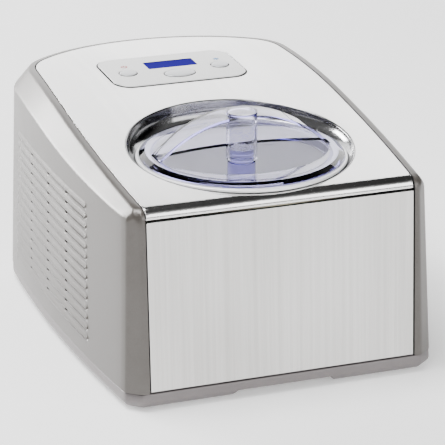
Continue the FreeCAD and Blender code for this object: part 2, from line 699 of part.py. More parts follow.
def build_control_panel():
    bezel = top_layer(-dim("bezel_proud"), dim("bezel_thick")).common(bezel_prism(0.0))
    x, y = dim("display_x"), dim("display_y")
    half_x, half_y = dim("display_half_x"), dim("display_half_y")
    bezel = bezel.cut(Part.makeBox(2 * half_x, 2 * half_y, 60, Vector(x - half_x, y - half_y, 170)))
    for name, button_x, button_y, button_half_x, button_half_y in BUTTONS:
        bezel = bezel.cut(oval(button_x, button_y, button_half_x, button_half_y, 170, 60))
    feature("control_bezel", bezel)
    window_low = ("display_x - display_half_x + 0.1", "display_y - display_half_y + 0.1", "201.5")
    window_high = ("display_x + display_half_x - 0.1", "display_y + display_half_y - 0.1", "204.2")
    window = box("display_lens", window_low, window_high)
    keep(window, "display_window")
    module_low = ("display_x - display_half_x - 1", "display_y - display_half_y - 1", "board_height + 1.6")
    module_high = ("display_x + display_half_x + 1", "display_y + display_half_y + 1", "200.6")
    keep(box("display_block", module_low, module_high), "display_module")
    board = box("board_blank", ("-64.5", "55", "board_height"), ("64.5", "121", "board_height + 1.6"))
    holes = []
    for number, (px, py) in enumerate(BOARD_POSTS):
        holes.append(cylinder(f"board_hole_{number}", "1.6", "10", (px, py, "board_height - 2")))
    keep(cut("board_cut", board, *holes), "control_board")
    screws = []
    for number, (px, py) in enumerate(BOARD_POSTS):
        head = cylinder(f"board_screw_head_{number}", "3", "1.6", (px, py, "board_height - 1.6"))
        shank = cylinder(f"board_screw_shank_{number}", "1.2", "8", (px, py, "board_height"))
        screws.append(fused(f"board_screw_{number}", head, shank))
    keep(group("board_screw_set", *screws), "board_screws")
    switches = []
    for name, button_x, button_y, half_x, half_y in BUTTONS:
        top = top_height(button_y)
        bottom = dim("board_height") + BOARD_THICK
        body = Part.makeBox(6, 6, 3.4, Vector(button_x - 3, button_y - 3, bottom))
        plunger_height = top - 5.1 - dim("button_travel") - bottom
        plunger = Part.makeCylinder(1.7, plunger_height, Vector(button_x, button_y, bottom))
        switches.append(body.fuse(plunger).removeSplitter())
        cap = oval(button_x, button_y, half_x - 0.3, half_y - 0.3, top - 4.6, 4.6 + dim("button_proud"))
        flange = oval(button_x, button_y, half_x + 1.0, half_y + 1.0, top - 4.8, 1.2)
        feature(name, cap.fuse(flange).removeSplitter())
    feature("key_switches", Part.makeCompound(switches))


# ---------------------------------------------------------------- chilled cup, coil, foam
def build_cooling_cup():
    profile = [
        ("8.2", "cup_floor - cup_wall"), ("cup_radius + cup_wall", "cup_floor - cup_wall"),
        ("cup_radius + cup_wall", "cup_top - 1.4"), ("cup_radius + 6", "cup_top - 1.4"),
        ("cup_radius + 6", "cup_top"), ("cup_radius", "cup_top"),
        ("cup_radius", "cup_floor"), ("8.2", "cup_floor"),
    ]
    keep(turned("evaporator_cup", profile), "evaporator_cup")
    centre = dim("cup_radius") + dim("cup_wall") + dim("coil_tube") + 0.1
    tube = dim("coil_tube")
    low = dim("cup_floor") + 8.0
    count = 8
    header_y = dim("bowl_axis") + centre + 0.15
    header_height = (count - 1) * dim("coil_pitch") + 8.0
    coil = Part.makeCylinder(tube + 0.2, header_height, Vector(0, header_y, low - 4.0))
    for index in range(count):
        level = low + index * dim("coil_pitch")
        coil = coil.fuse(Part.makeTorus(centre, tube, Vector(0, dim("bowl_axis"), level)))
    feature("evaporator_coil", coil.removeSplitter())
    profile = [
        ("16", "foam_base"), ("foam_radius", "foam_base"), ("foam_radius", "cup_top - 4"),
        ("foam_inner", "cup_top - 4"), ("foam_inner", "cup_floor - cup_wall - 0.1"),
        ("16", "cup_floor - cup_wall - 0.1"),
    ]
    line_place = ("0", "bowl_axis + foam_inner - 5", "cup_floor + 8 + 7 * coil_pitch")
    line_hole = cylinder("line_hole", "3.2", "20", line_place, Vector(0, 1, 0))
    keep(cut("foam_cut", turned("foam", profile), line_hole), "insulation_jacket")
    profile = [
        ("shaft_radius + 0.05", "cup_floor - 4.5"), ("12", "cup_floor - 4.5"),
        ("12", "cup_floor - cup_wall - 0.1"),
        ("8.1", "cup_floor - cup_wall - 0.1"), ("8.1", "cup_floor"), ("shaft_radius + 0.05", "cup_floor"),
    ]
    keep(turned("seal", profile), "shaft_seal")


# ---------------------------------------------------------------- gearbox and drive
def gear_shape(teeth, module, height, bore, backlash):
    """Spur gear with straight-flanked teeth, one tooth pointing to +Y."""
    pitch_radius = 0.5 * teeth * module
    tip = pitch_radius + 0.85 * module
    root = pitch_radius - 1.15 * module
    pitch_angle = 2 * math.pi / teeth
    half_pitch = 0.25 * pitch_angle - backlash / pitch_radius
    half_tip = half_pitch - 0.85 * module * math.tan(math.radians(20)) / pitch_radius
    half_root = half_pitch + 1.15 * module * math.tan(math.radians(20)) / pitch_radius
    points = []
    for tooth in range(teeth):
        middle = math.pi / 2 + tooth * pitch_angle
        for radius, angle in ((root, -half_root), (tip, -half_tip), (tip, half_tip), (root, half_root)):
            points.append((radius * math.cos(middle + angle), radius * math.sin(middle + angle), 0))
    blank = prism(points, (0, 0, height))
    return blank.cut(Part.makeCylinder(bore, height + 2, Vector(0, 0, -1)))


def hexagon(flats, low, high, x, y):
    corner = flats / math.sqrt(3)
    angles = [math.radians(60 * index) for index in range(6)]
    points = [(x + corner * math.cos(angle), y + corner * math.sin(angle), low) for angle in angles]
    return prism(points, (0, 0, high - low))


def build_gearbox():
    axis = dim("bowl_axis")
    low, high, half, wall = (dim(name) for name in ("case_low", "case_high", "case_half", "case_wall"))
    front = axis - half
    length = MOTOR_AXIS_Y + 22.0 - front
    case = Part.makeBox(2 * half, length, high - low, Vector(-half, front, low))
    inside_place = Vector(-half + wall, front + wall, low + wall)
    case = case.cut(Part.makeBox(2 * half - 2 * wall, length - 2 * wall, high, inside_place))
    case = case.fuse(Part.makeCylinder(9.5, 4.5, Vector(0, axis, low)))
    case = case.cut(Part.makeCylinder(7.0, 20.0, Vector(0, axis, low + 1.5)))
    idler_y = axis + 0.5 * dim("output_module") * (dim("large_teeth") + dim("small_teeth"))
    case = case.cut(Part.makeCylinder(3.0, 20.0, Vector(0, idler_y, low - 5)))
    case = case.cut(Part.makeCylinder(4.0, 20.0, Vector(0, MOTOR_AXIS_Y, low - 5)))
    screw_places = [(x, y) for x in (-half + 6.0, half - 6.0) for y in (front + 6.0, front + length - 6.0)]
    for x, y in screw_places:
        case = case.fuse(Part.makeCylinder(4.6, high - low, Vector(x, y, low)))
        case = case.cut(Part.makeCylinder(1.6, 12.0, Vector(x, y, high - 12.0)))
    feature("gearbox_case", case.removeSplitter())
    lid = Part.makeBox(2 * half, length, 2.4, Vector(-half, front, high))
    lid = lid.cut(Part.makeCylinder(7.0, 6.0, Vector(0, axis, high - 1)))
    lid = lid.cut(Part.makeCylinder(3.0, 6.0, Vector(0, idler_y, high - 1)))
    for x, y in screw_places:
        lid = lid.cut(Part.makeCylinder(1.8, 6.0, Vector(x, y, high - 1)))
    feature("gearbox_lid", lid)
    screws = []
    for number, (x, y) in enumerate(screw_places):
        head = cylinder(f"gearbox_screw_head_{number}", "3", "0.5", (x, y, "case_high + 2.4"))
        shank = cylinder(f"gearbox_screw_shank_{number}", "1.6", "12", (x, y, "case_high - 9.6"))
        screws.append(fused(f"gearbox_screw_{number}", head, shank))
    keep(group("gearbox_screw_set", *screws), "gearbox_screws")
    bush = [("shaft_radius + running_gap", "0"), ("7", "0"), ("7", "4"), ("shaft_radius + running_gap", "4")]
    lower = turned("lower_bush", bush, ("0", "bowl_axis", "case_low + 1.5"))
    upper = turned("upper_bush", bush, ("0", "bowl_axis", "case_high - 1"))
    keep(group("bush_pair", lower, upper), "shaft_bearings")
    # shaft with its gear
    shaft = Part.makeCylinder(dim("shaft_radius"), dim("shaft_top") - low - 2.0, Vector(0, axis, low + 2.0))
    tip = hexagon(dim("hex_flats"), dim("shaft_top"), dim("hex_top"), 0, axis)
    feature("drive_shaft", shaft.fuse(tip).removeSplitter())
    height = dim("gear_height")
    large, small = int(dim("large_teeth")), int(dim("small_teeth"))
    output = gear_shape(large, dim("output_module"), height, dim("shaft_radius"), 0.12)
    web = Part.makeCylinder(36.0, 2.0, Vector(0, 0, height - 2.0))
    web = web.cut(Part.makeCylinder(9.0, 3.0, Vector(0, 0, height - 2.5)))
    output = output.cut(web)
    output.rotate(Vector(0, 0, 0), Vector(0, 0, 1), 180.0 / large)
    output.translate(Vector(0, axis, dim("output_level")))
    feature("output_gear", output)
    # idler: small gear above, large gear below, on a fixed axle
    axle = 3.0
    upper_gear = gear_shape(small, dim("output_module"), height, axle + dim("running_gap"), 0.12)
    upper_gear.translate(Vector(0, 0, dim("output_level")))
    lower_gear = gear_shape(large, dim("input_module"), height, axle + dim("running_gap"), 0.10)
    lower_gear.translate(Vector(0, 0, dim("input_level")))
    neck_low = dim("input_level") + height
    neck = Part.makeCylinder(10.0, dim("output_level") - neck_low, Vector(0, 0, neck_low))
    neck = neck.cut(Part.makeCylinder(axle + dim("running_gap"), 20.0, Vector(0, 0, neck_low - 5)))
    idler = upper_gear.fuse(neck).fuse(lower_gear)
    idler.translate(Vector(0, idler_y, 0))
    feature("idler_gear", idler.removeSplitter())
    pin = Part.makeCylinder(axle, high + 2.4 - low, Vector(0, idler_y, low))
    feature("idler_axle", pin)
    # pinion on the motor's shaft
    pinion = gear_shape(small, dim("input_module"), height, 2.5, 0.10)
    pinion.rotate(Vector(0, 0, 0), Vector(0, 0, 1), 180.0 / small)
    pinion.translate(Vector(0, MOTOR_AXIS_Y, dim("input_level")))
    spindle = Part.makeCylinder(2.5, 36.0, Vector(0, MOTOR_AXIS_Y, dim("input_level") + height - 36.0))
    feature("motor_pinion", pinion.fuse(spindle).removeSplitter())
    motor_foot = Vector(0, MOTOR_AXIS_Y, dim("motor_low"))
    can = Part.makeCylinder(dim("motor_radius"), low - dim("motor_low"), motor_foot)
    bore_foot = Vector(0, MOTOR_AXIS_Y, dim("motor_low") + 5.0)
    can = can.cut(Part.makeCylinder(2.5 + dim("running_gap"), 60.0, bore_foot))
    lower_edges = [edge for edge in can.Edges if edge.Length > 100 and edge.BoundBox.ZMax < low - 5]
    can = can.makeFillet(2.0, lower_edges)
    feature("gear_motor", can)


# ---------------------------------------------------------------- refrigeration
def build_refrigeration():
    x, y = dim("compressor_x"), dim("compressor_y")
    radius, low, high = dim("compressor_radius"), dim("compressor_low"), dim("compressor_high")
    shell = Part.makeCylinder(radius, high - low, Vector(x, y, low))
    ends = [edge for edge in shell.Edges if edge.Length > 100]
    shell = shell.makeFillet(22.0, ends)
    seam = Part.makeCylinder(radius + 2.0, 3.0, Vector(x, y, 0.5 * (low + high)))
    ports = Part.makeCylinder(4.0, 24.0, Vector(x - 20, y - radius + 12, high - 40), Vector(0, -1, 0))
    shell = shell.fuse(seam).fuse(ports).removeSplitter()
    feature("compressor_shell", shell)
    plate = Part.makeBox(104, 104, 3.0, Vector(x - 52, y - 52, low - 3.0))
    plate = plate.makeFillet(8.0, [edge for edge in plate.Edges if edge.Length < 4])
    grommets = []
    bolts = []
    for px, py in COMPRESSOR_POSTS:
        plate = plate.cut(Part.makeCylinder(5.0, 10.0, Vector(px, py, low - 6.0)))
        rubber = Part.makeCylinder(8.0, low - 3.0 - 10.0, Vector(px, py, 10.0))
        rubber = rubber.fuse(Part.makeCylinder(5.0, 5.0, Vector(px, py, low - 3.0)))
        grommets.append(rubber.cut(Part.makeCylinder(2.5, 30.0, Vector(px, py, 8.0))).removeSplitter())
        bolt = Part.makeCylinder(2.5, low + 2.0 - 10.0, Vector(px, py, 10.0))
        bolts.append(bolt.fuse(Part.makeCylinder(5.0, 3.5, Vector(px, py, low + 2.0))).removeSplitter())
    feature("compressor_plate", plate)
    feature("compressor_grommets", Part.makeCompound(grommets))
    feature("compressor_bolts", Part.makeCompound(bolts))
    relay = Part.makeBox(30, 20, 34, Vector(x - 15, y + radius - 2.0, low + 36))
    feature("compressor_relay", relay.cut(Part.makeCylinder(radius + 2.1, 200, Vector(x, y, 0))))
    # condenser: flat fins on hairpin tubes that run along Y
    face_x = dim("condenser_x")
    thick = dim("condenser_thick")
    rows = [30.0 + 18.0 * index for index in range(6)]
    tubes = None
    middle_x = face_x + thick / 2
    for index, level in enumerate(rows):
        run = Part.makeCylinder(4.0, 116.0, Vector(middle_x, 7.0, level), Vector(0, 1, 0))
        tubes = run if tubes is None else tubes.fuse(run)
        if index:
            end = 7.0 if index % 2 else 123.0
            link = Part.makeCylinder(4.0, 18.0, Vector(middle_x, end, level - 18.0))
            tubes = tubes.fuse(link).fuse(Part.makeSphere(4.0, Vector(middle_x, end, level)))
            tubes = tubes.fuse(Part.makeSphere(4.0, Vector(middle_x, end, level - 18.0)))
    feature("condenser_tubes", tubes.removeSplitter())
    drills = Part.makeCompound([
        Part.makeCylinder(4.05, 130.0, Vector(middle_x, 0.0, level), Vector(0, 1, 0)) for level in rows
    ])
    fins = []
    for index in range(30):
        fin = Part.makeBox(thick, 0.8, 112.0, Vector(face_x, 14.0 + 3.4 * index, 19.0))
        fins.append(fin.cut(drills))
    feature("condenser_fins", Part.makeCompound(fins))
    # fan that draws air through the condenser
    fan_y, fan_z, fan_radius = dim("fan_y"), dim("fan_z"), dim("fan_radius")
    axis = Vector(1, 0, 0)
    frame_x = face_x + thick + 3.0
    frame = Part.makeBox(16.0, 112.0, 112.0, Vector(frame_x, fan_y - 56.0, fan_z - 58.0))
    frame = frame.cut(Part.makeCylinder(fan_radius + 3.0, 30.0, Vector(frame_x - 5.0, fan_y, fan_z), axis))
    for angle in (45, 135, 225, 315):
        spoke = Part.makeBox(3.0, 46.0, 5.0, Vector(frame_x + 13.0, fan_y + 12.0, fan_z - 2.5))
        spoke.rotate(Vector(0, fan_y, fan_z), axis, angle)
        frame = frame.fuse(spoke)
    feature("fan_frame", frame.fuse(
        Part.makeCylinder(18.0, 3.0, Vector(frame_x + 13.0, fan_y, fan_z), axis).cut(
            Part.makeCylinder(5.0, 9.0, Vector(frame_x + 10.0, fan_y, fan_z), axis))).removeSplitter())
    motor = Part.makeCylinder(16.0, 26.0, Vector(frame_x + 16.0, fan_y, fan_z), axis)
    shaft_foot = Vector(frame_x + 10.0, fan_y, fan_z)
    motor = motor.cut(Part.makeCylinder(2.5 + dim("running_gap"), 20.0, shaft_foot, axis))
    feature("fan_motor", motor)
    rotor = Part.makeCylinder(12.0, 9.0, Vector(frame_x + 2.0, fan_y, fan_z), axis)
    rotor = rotor.fuse(Part.makeCylinder(2.5, 24.0, Vector(frame_x + 4.0, fan_y, fan_z), axis))
    for index in range(5):
        blade = Part.makeBox(1.6, fan_radius - 10.0, 26.0, Vector(-0.8, 10.0, -13.0))
        blade.rotate(Vector(0, 0, 0), Vector(0, 1, 0), 25)
        blade.translate(Vector(frame_x + 6.5, fan_y, fan_z))
        blade.rotate(Vector(frame_x, fan_y, fan_z), axis, 72 * index)
        rotor = rotor.fuse(blade)
    feature("fan_rotor", rotor.removeSplitter())
    # drier and copper lines
    feature("filter_drier", Part.makeCylinder(9.0, 60.0, Vector(-40.0, 175.0, 60.0), Vector(1, 0, 0)))
    coil_y = dim("bowl_axis") + dim("cup_radius") + dim("cup_wall") + 2 * dim("coil_tube") + 0.5
    top = dim("cup_floor") + 8.0 + 7 * dim("coil_pitch")
    port = Vector(x - 20, y - radius + 12 - 24, high - 40)
    suction = [
        (0, coil_y, top),
        (0, 6.0, top),
        (0, 6.0, port.z),
        (port.x, port.y - 6.0, port.z),
        (port.x, port.y, port.z),
    ]
    feature("suction_line", pipe_shape(suction, 3.0).cut(shell))
    middle = face_x + thick / 2
    discharge = [(x - 25.0, y + 44.0, 100.0), (x - 45.0, y + 60.0, 100.0), (-70.0, 172.0, 120.0),
                 (middle, 140.0, 120.0), (middle, 127.5, 120.0)]
    feature("discharge_line", pipe_shape(discharge, 3.0).cut(shell))
    board = box("power_board_blank", ("-62", "70", "14"), ("-8", "160", "15.6"))
    keep(board, "power_board")
    keep(box("transformer_block", ("-52", "100", "15.6"), ("-22", "136", "42")), "transformer")
    gland = Part.makeCylinder(6.9, 16.0, Vector(0, 190.6, 32.0), Vector(0, 1, 0))
    gland = gland.fuse(Part.makeCylinder(9.5, 3.0, Vector(0, 198.0, 32.0), Vector(0, 1, 0)))
    gland = gland.cut(Part.makeCylinder(3.6, 40.0, Vector(0, 180.0, 32.0), Vector(0, 1, 0)))
    feature("power_gland", gland.removeSplitter())
    screws = []
    for number, (px, py) in enumerate(SCREW_PLACES):
        head = cylinder(f"base_screw_head_{number}", "3.2", "1.4", (px, py, "tray_floor + 0.2"))
        shank = cylinder(f"base_screw_shank_{number}", "1.6", "16", (px, py, "tray_floor + 1.6"))
        screws.append(fused(f"base_screw_{number}", head, shank))
    keep(group("base_screw_set", *screws), "base_screws")


# ---------------------------------------------------------------- bowl, paddle, lid
def build_bowl():
    outer, wall = "bowl_radius", "bowl_wall"
    profile = [
        ("post_radius", "bowl_floor"), (outer, "bowl_floor"), (outer, "rim_height - 1"),
        ("rim_radius", "rim_height - 1"), ("rim_radius", "rim_height + 0.6"),
        (f"{outer} - {wall}", "rim_height + 0.6"),
        (f"{outer} - {wall}", f"bowl_floor + {wall}"), ("post_radius", f"bowl_floor + {wall}"),
        ("post_radius", "post_top"), ("post_radius - 2", "post_top"), ("post_radius - 2", "bowl_floor"),
    ]
    bowl = turned("bowl_blank", profile)
    bead_sizes = {"Radius1": "rim_radius", "Radius2": "rim_bead"}
    bead = primitive("Torus", "rim_bead_ring", bead_sizes, ("0", "bowl_axis", "rim_height"))
    keep(fused("bowl_with_bead", bowl, bead), "mixing_bowl")


def build_paddle():
    axis = dim("bowl_axis")
    hub_height = dim("stem_top") - 12.0 - dim("hub_low")
    hub = Part.makeCylinder(dim("hub_radius"), hub_height, Vector(0, axis, dim("hub_low")))
    stem = Part.makeCylinder(dim("stem_radius"), 14.0, Vector(0, axis, dim("stem_top") - 14.0))
    paddle = hub.fuse(stem)
    reach, thick, bar = dim("blade_reach"), dim("blade_thick"), dim("blade_bar")
    low, high = dim("blade_low"), dim("blade_high")
    for sign in (-1, 1):
        blade = Part.makeBox(reach - 8.0, thick, high - low, Vector(8.0, -thick / 2, low))
        window = Part.makeBox(reach - bar - 8.0 - dim("hub_radius"), 3 * thick, high - low - 2 * bar,
                              Vector(dim("hub_radius") + 8.0, -1.5 * thick, low + bar))
        blade = blade.cut(window)
        blade.rotate(Vector(0, 0, 0), Vector(0, 0, 1), 0 if sign > 0 else 180)
        blade.translate(Vector(0, axis, 0))
        paddle = paddle.fuse(blade)
    post_room = Part.makeCylinder(dim("post_radius") + 1.0, dim("shaft_top") - 60.0, Vector(0, axis, 60.0))
    paddle = paddle.cut(post_room)
    hex_room = hexagon(dim("hex_flats") + 0.6, dim("shaft_top") - 1.0, dim("hex_top") + 1.5, 0, axis)
    paddle = paddle.cut(hex_room)
    feature("mixing_paddle", paddle.removeSplitter())


def build_lid():
    axis = dim("bowl_axis")
    top, thick = dim("plate_top"), dim("plate_thick")
    plate_r, skirt_r, skirt_low = dim("plate_radius"), dim("skirt_radius"), dim("skirt_low")
    spigot_r, spigot_low = dim("spigot_radius"), dim("spigot_low")
    ring_points = [
        (spigot_r - 2.0, spigot_low), (spigot_r, spigot_low), (spigot_r, skirt_low), (skirt_r, skirt_low),
        (skirt_r, skirt_low + 1.2), (plate_r, top), (spigot_r - 2.0, top),
    ]
    ring_edges = polygon([(x, 0, z) for x, z in ring_points]).Edges
    ring = turned_shape(ring_edges)
    plate = Part.makeCylinder(plate_r - 1.0, thick, Vector(0, axis, top - thick))
    lens_centre = axis - dim("lens_front") + dim("lens_radius")
    lens = Part.makeCylinder(dim("lens_radius"), 40.0, Vector(0, lens_centre, top - 20.0))
    web_centre = axis + dim("lens_rear") - dim("web_radius")
    web_disc = Part.makeCylinder(dim("web_radius"), 40.0, Vector(0, web_centre, top - 20.0))
    lens = lens.common(web_disc).common(Part.makeCylinder(spigot_r - 2.0, 40.0, Vector(0, axis, top - 20.0)))
    plate = plate.cut(lens)
    arch_centre = dim("strap_top") - dim("strap_radius")
    strap_r, strap_half = dim("strap_radius"), dim("strap_half")
    along_y = Vector(0, 1, 0)
    arch_foot = Vector(0, axis - strap_half, arch_centre)
    arch_outer = Part.makeCylinder(strap_r, 2 * strap_half, arch_foot, along_y)
    arch_inner = Part.makeCylinder(
        strap_r - dim("strap_thick"), 2 * strap_half + 2, arch_foot - along_y, along_y
    )
    above = Part.makeCylinder(plate_r - 1.0, 60.0, Vector(0, axis, top - 0.5))
    strap = arch_outer.cut(arch_inner).common(above)
    web = Part.makeCylinder(dim("web_radius") + 1.8, 50.0, Vector(0, web_centre, top - 0.5))
    web = web.cut(Part.makeCylinder(dim("web_radius"), 60.0, Vector(0, web_centre, top - 5)))
    under_arch = Part.makeCylinder(strap_r - 0.5, 60.0, Vector(0, axis - 20.0, arch_centre), along_y)
    front_half_space = Part.makeBox(400, 60, 100, Vector(-200, axis + 2.0, top - 1.0))
    web = web.common(under_arch).common(above).common(front_half_space)
    ledge = arch_outer.cut(arch_inner).common(above)
    ledge.translate(Vector(0, 9.0, 0))
    ledge_limit = Part.makeCylinder(dim("web_radius") + 1.8, 80.0, Vector(0, web_centre, top - 1.0))
    strap = strap.fuse(ledge.common(ledge_limit))
    tube_low = dim("tube_low")
    tube = Part.makeCylinder(dim("tube_radius"), dim("tube_top") - tube_low, Vector(0, axis, tube_low))
    bore_radius, bore_height = dim("tube_radius") - dim("tube_wall"), dim("tube_top") - 2.0 - tube_low
    bore = Part.makeCylinder(bore_radius, bore_height, Vector(0, axis, tube_low))
    bridge = Part.makeBox(4.0, dim("lens_rear") + 6.0, thick, Vector(-2.0, axis + 1.0, top - thick))
    lid = ring.fuse([plate, strap, web, tube, bridge]).cut(bore)
    feature("lid", lid.removeSplitter())


# ---------------------------------------------------------------- build and write
build_base_tray()
build_feet()
build_housing()
build_sheets()
build_control_panel()
build_cooling_cup()
build_gearbox()
build_refrigeration()
build_bowl()
build_paddle()
build_lid()
doc.recompute()

for obj in doc.Objects:
    if "Invalid" in obj.State or "Error" in obj.State:
        raise RuntimeError(f"{obj.Label} did not build: {obj.State}")
for part in PARTS:
    if part.Shape.isNull() or not part.Shape.isValid():
        raise RuntimeError(f"{part.Label} has no valid shape")
for part in PARTS:
    part.Shape.exportStep(f"parts/{part.Label}.step")
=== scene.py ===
import json
import math

import bmesh
import bpy
import numpy as np
from mathutils import Matrix, Vector
from mathutils.geometry import delaunay_2d_cdt


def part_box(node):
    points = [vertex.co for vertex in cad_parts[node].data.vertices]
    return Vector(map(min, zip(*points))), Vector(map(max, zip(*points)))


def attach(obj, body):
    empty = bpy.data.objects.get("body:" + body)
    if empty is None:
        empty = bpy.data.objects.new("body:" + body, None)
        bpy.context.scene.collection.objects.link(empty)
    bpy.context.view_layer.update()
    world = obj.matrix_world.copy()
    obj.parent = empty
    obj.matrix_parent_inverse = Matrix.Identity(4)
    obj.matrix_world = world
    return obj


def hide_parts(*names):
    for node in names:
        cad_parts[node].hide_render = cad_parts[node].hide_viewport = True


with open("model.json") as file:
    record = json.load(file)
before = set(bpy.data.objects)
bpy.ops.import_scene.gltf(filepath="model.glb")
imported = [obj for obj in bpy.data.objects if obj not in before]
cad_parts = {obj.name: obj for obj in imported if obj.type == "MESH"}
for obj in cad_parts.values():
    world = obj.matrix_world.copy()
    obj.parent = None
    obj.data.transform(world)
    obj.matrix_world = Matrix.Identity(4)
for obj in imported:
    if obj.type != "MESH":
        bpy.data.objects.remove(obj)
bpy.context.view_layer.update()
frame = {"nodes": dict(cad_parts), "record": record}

NODES = frame["nodes"]
MM = 0.001


# ---- materials
MATERIALS = {}


def toned(tone, factor=1.0, shift=0.0):
    """A colour made lighter or darker by a factor or a shift."""
    return tuple(factor * channel + shift for channel in tone)


def map_range(tree, value, low, high, new_low, new_high):
    """Turns the range from low to high into the one from new_low to new_high."""
    node = tree.nodes.new("ShaderNodeMapRange")
    sockets = ("From Min", "From Max", "To Min", "To Max")
    for socket, number in zip(sockets, (low, high, new_low, new_high)):
        node.inputs[socket].default_value = number
    tree.links.new(value, node.inputs["Value"])
    return node.outputs["Result"]


class Shader:
    """A node material with one Principled shader and short helpers for procedural inputs.

    It is kept in MATERIALS by its name."""

    def __init__(self, name, **values):
        self.material = MATERIALS[name] = bpy.data.materials.new(name)
        self.material.use_nodes = True
        self.nodes = self.material.node_tree.nodes
        self.links = self.material.node_tree.links
        self.shader = self.nodes["Principled BSDF"]
        for socket, value in values.items():
            self.shader.inputs[socket.replace("_", " ")].default_value = value
        self.place = self.nodes.new("ShaderNodeTexCoord").outputs["Object"]

    def stretched(self, scale):
        """Object coordinates in metres times a scale for each axis."""
        mapping = self.nodes.new("ShaderNodeMapping")
        mapping.inputs["Scale"].default_value = scale
        self.links.new(self.place, mapping.inputs["Vector"])
        return mapping.outputs["Vector"]

    def noise(self, scale, detail=4.0, rough=0.6):
        """Noise with a scale for each axis, in cycles per metre."""
        texture = self.nodes.new("ShaderNodeTexNoise")
        texture.inputs["Scale"].default_value = 1.0
        texture.inputs["Detail"].default_value = detail
        texture.inputs["Roughness"].default_value = rough
        self.links.new(self.stretched(scale), texture.inputs["Vector"])
        return texture.outputs["Fac"]

    def remap(self, value, low, high, new_low, new_high):
        return map_range(self.material.node_tree, value, low, high, new_low, new_high)

    def ramp(self, value, stops):
        """Colour ramp: stops are (place, colour)."""
        node = self.nodes.new("ShaderNodeValToRGB")
        elements = node.color_ramp.elements
        while len(elements) < len(stops):
            elements.new(0.5)
        for element, (position, colour) in zip(elements, stops):
            element.position = position
            element.color = (*colour, 1.0)
        self.links.new(value, node.inputs["Fac"])
        return node.outputs["Color"]

    def total(self, first, second):
        node = self.nodes.new("ShaderNodeMath")
        node.operation = "ADD"
        self.links.new(first, node.inputs[0])
        self.links.new(second, node.inputs[1])
        return node.outputs["Value"]

    def into(self, socket, value):
        self.links.new(value, self.shader.inputs[socket])

    def bump(self, height, depth, strength):
        """Bump with its depth in metres."""
        node = self.nodes.new("ShaderNodeBump")
        node.inputs["Distance"].default_value = depth
        node.inputs["Strength"].default_value = strength
        self.links.new(height, node.inputs["Height"])
        self.into("Normal", node.outputs["Normal"])


def brushed(name, tone, rough, streak=0.11, depth=0.000012):
    """Sheet steel brushed up and down: the noise is fine across X and long along Y and Z."""
    grain = np.array((2600.0, 22.0, 22.0))
    mat = Shader(name, Metallic=1.0)
    fine = mat.noise(grain, detail=3.0, rough=0.7)
    broad = mat.noise(0.12 * grain, detail=2.0)
    cloud = mat.noise((9, 9, 9), detail=2.0)
    mat.into("Roughness", mat.total(mat.remap(fine, 0.3, 0.7, rough - 0.04, rough + 0.04),
                                    mat.remap(cloud, 0.3, 0.7, -0.015, 0.015)))
    low, high = toned(tone, shift=-streak), toned(tone, shift=streak)
    mix = mat.total(mat.remap(fine, 0.25, 0.75, 0.0, 0.35), mat.remap(broad, 0.3, 0.7, 0.0, 0.25))
    mix = mat.total(mix, mat.remap(mat.noise((7, 7, 4), detail=1.0), 0.35, 0.65, 0.0, 0.4))
    mat.into("Base Color", mat.ramp(mix, ((0.1, low), (0.9, high))))
    mat.bump(fine, depth, 0.5)


def painted(name, tone, rough, metal=0.35, depth=0.00003, flake=0.03):
    """Silver paint or a satin metal skin: a fine texture, flakes and slow tone changes."""
    mat = Shader(name, Metallic=metal, Coat_Weight=0.2, Coat_Roughness=0.22)
    fine = mat.noise((2600, 2600, 2600), detail=2.0)
    cloud = mat.noise((14, 14, 14), detail=3.0)
    dark, light = toned(tone, shift=-flake), toned(tone, shift=flake)
    value = mat.total(mat.remap(fine, 0.3, 0.7, 0.0, 0.65), mat.remap(cloud, 0.3, 0.7, 0.0, 0.35))
    mat.into("Base Color", mat.ramp(value, ((0.0, dark), (1.0, light))))
    mat.into("Roughness", mat.remap(cloud, 0.3, 0.7, rough - 0.04, rough + 0.05))
    mat.bump(fine, depth, 0.35)


def moulded(name, tone, rough=0.5, grain=1800.0, depth=0.00004, spread=0.15):
    """Plain moulded plastic or rubber with a fine skin texture."""
    mat = Shader(name)
    fine = mat.noise((grain, grain, grain), detail=3.0)
    cloud = mat.noise((22, 22, 22), detail=3.0)
    dark, light = toned(tone, 1 - spread), toned(tone, 1 + spread)
    mat.into("Base Color", mat.ramp(cloud, ((0.3, dark), (0.7, light))))
    mat.into("Roughness", mat.remap(cloud, 0.3, 0.7, rough - 0.06, rough + 0.06))
    mat.bump(fine, depth, 0.5)


def metal(name, tone, rough, depth=0.00002, spread=0.06):
    """Bare metal with slight stains."""
    mat = Shader(name, Metallic=1.0)
    fine = mat.noise((300, 300, 300), detail=4.0)
    cloud = mat.noise((30, 30, 30), detail=4.0)
    mat.into("Base Color", mat.ramp(cloud, ((0.3, toned(tone, 1 - spread)), (0.7, tone))))
    mat.into("Roughness", mat.remap(fine, 0.3, 0.7, rough - 0.06, rough + 0.08))
    mat.bump(fine, depth, 0.3)


def clear(name, tint, absorb, density, rough=0.02):
    """Clear moulded plastic that shows the absorbed tint through its edges."""
    mat = Shader(name, IOR=1.49, Transmission_Weight=1.0)
    cloud = mat.noise((40, 40, 40), detail=2.0)
    mat.into("Base Color", mat.ramp(cloud, ((0.3, toned(tint, 0.985)), (0.7, tint))))
    mat.into("Roughness", mat.remap(cloud, 0.3, 0.7, rough * 0.6, rough * 1.6))
    volume = mat.nodes.new("ShaderNodeVolumeAbsorption")
    volume.inputs["Color"].default_value = (*absorb, 1.0)
    volume.inputs["Density"].default_value = density
    output = mat.nodes["Material Output"]
    mat.links.new(volume.outputs["Volume"], output.inputs["Volume"])


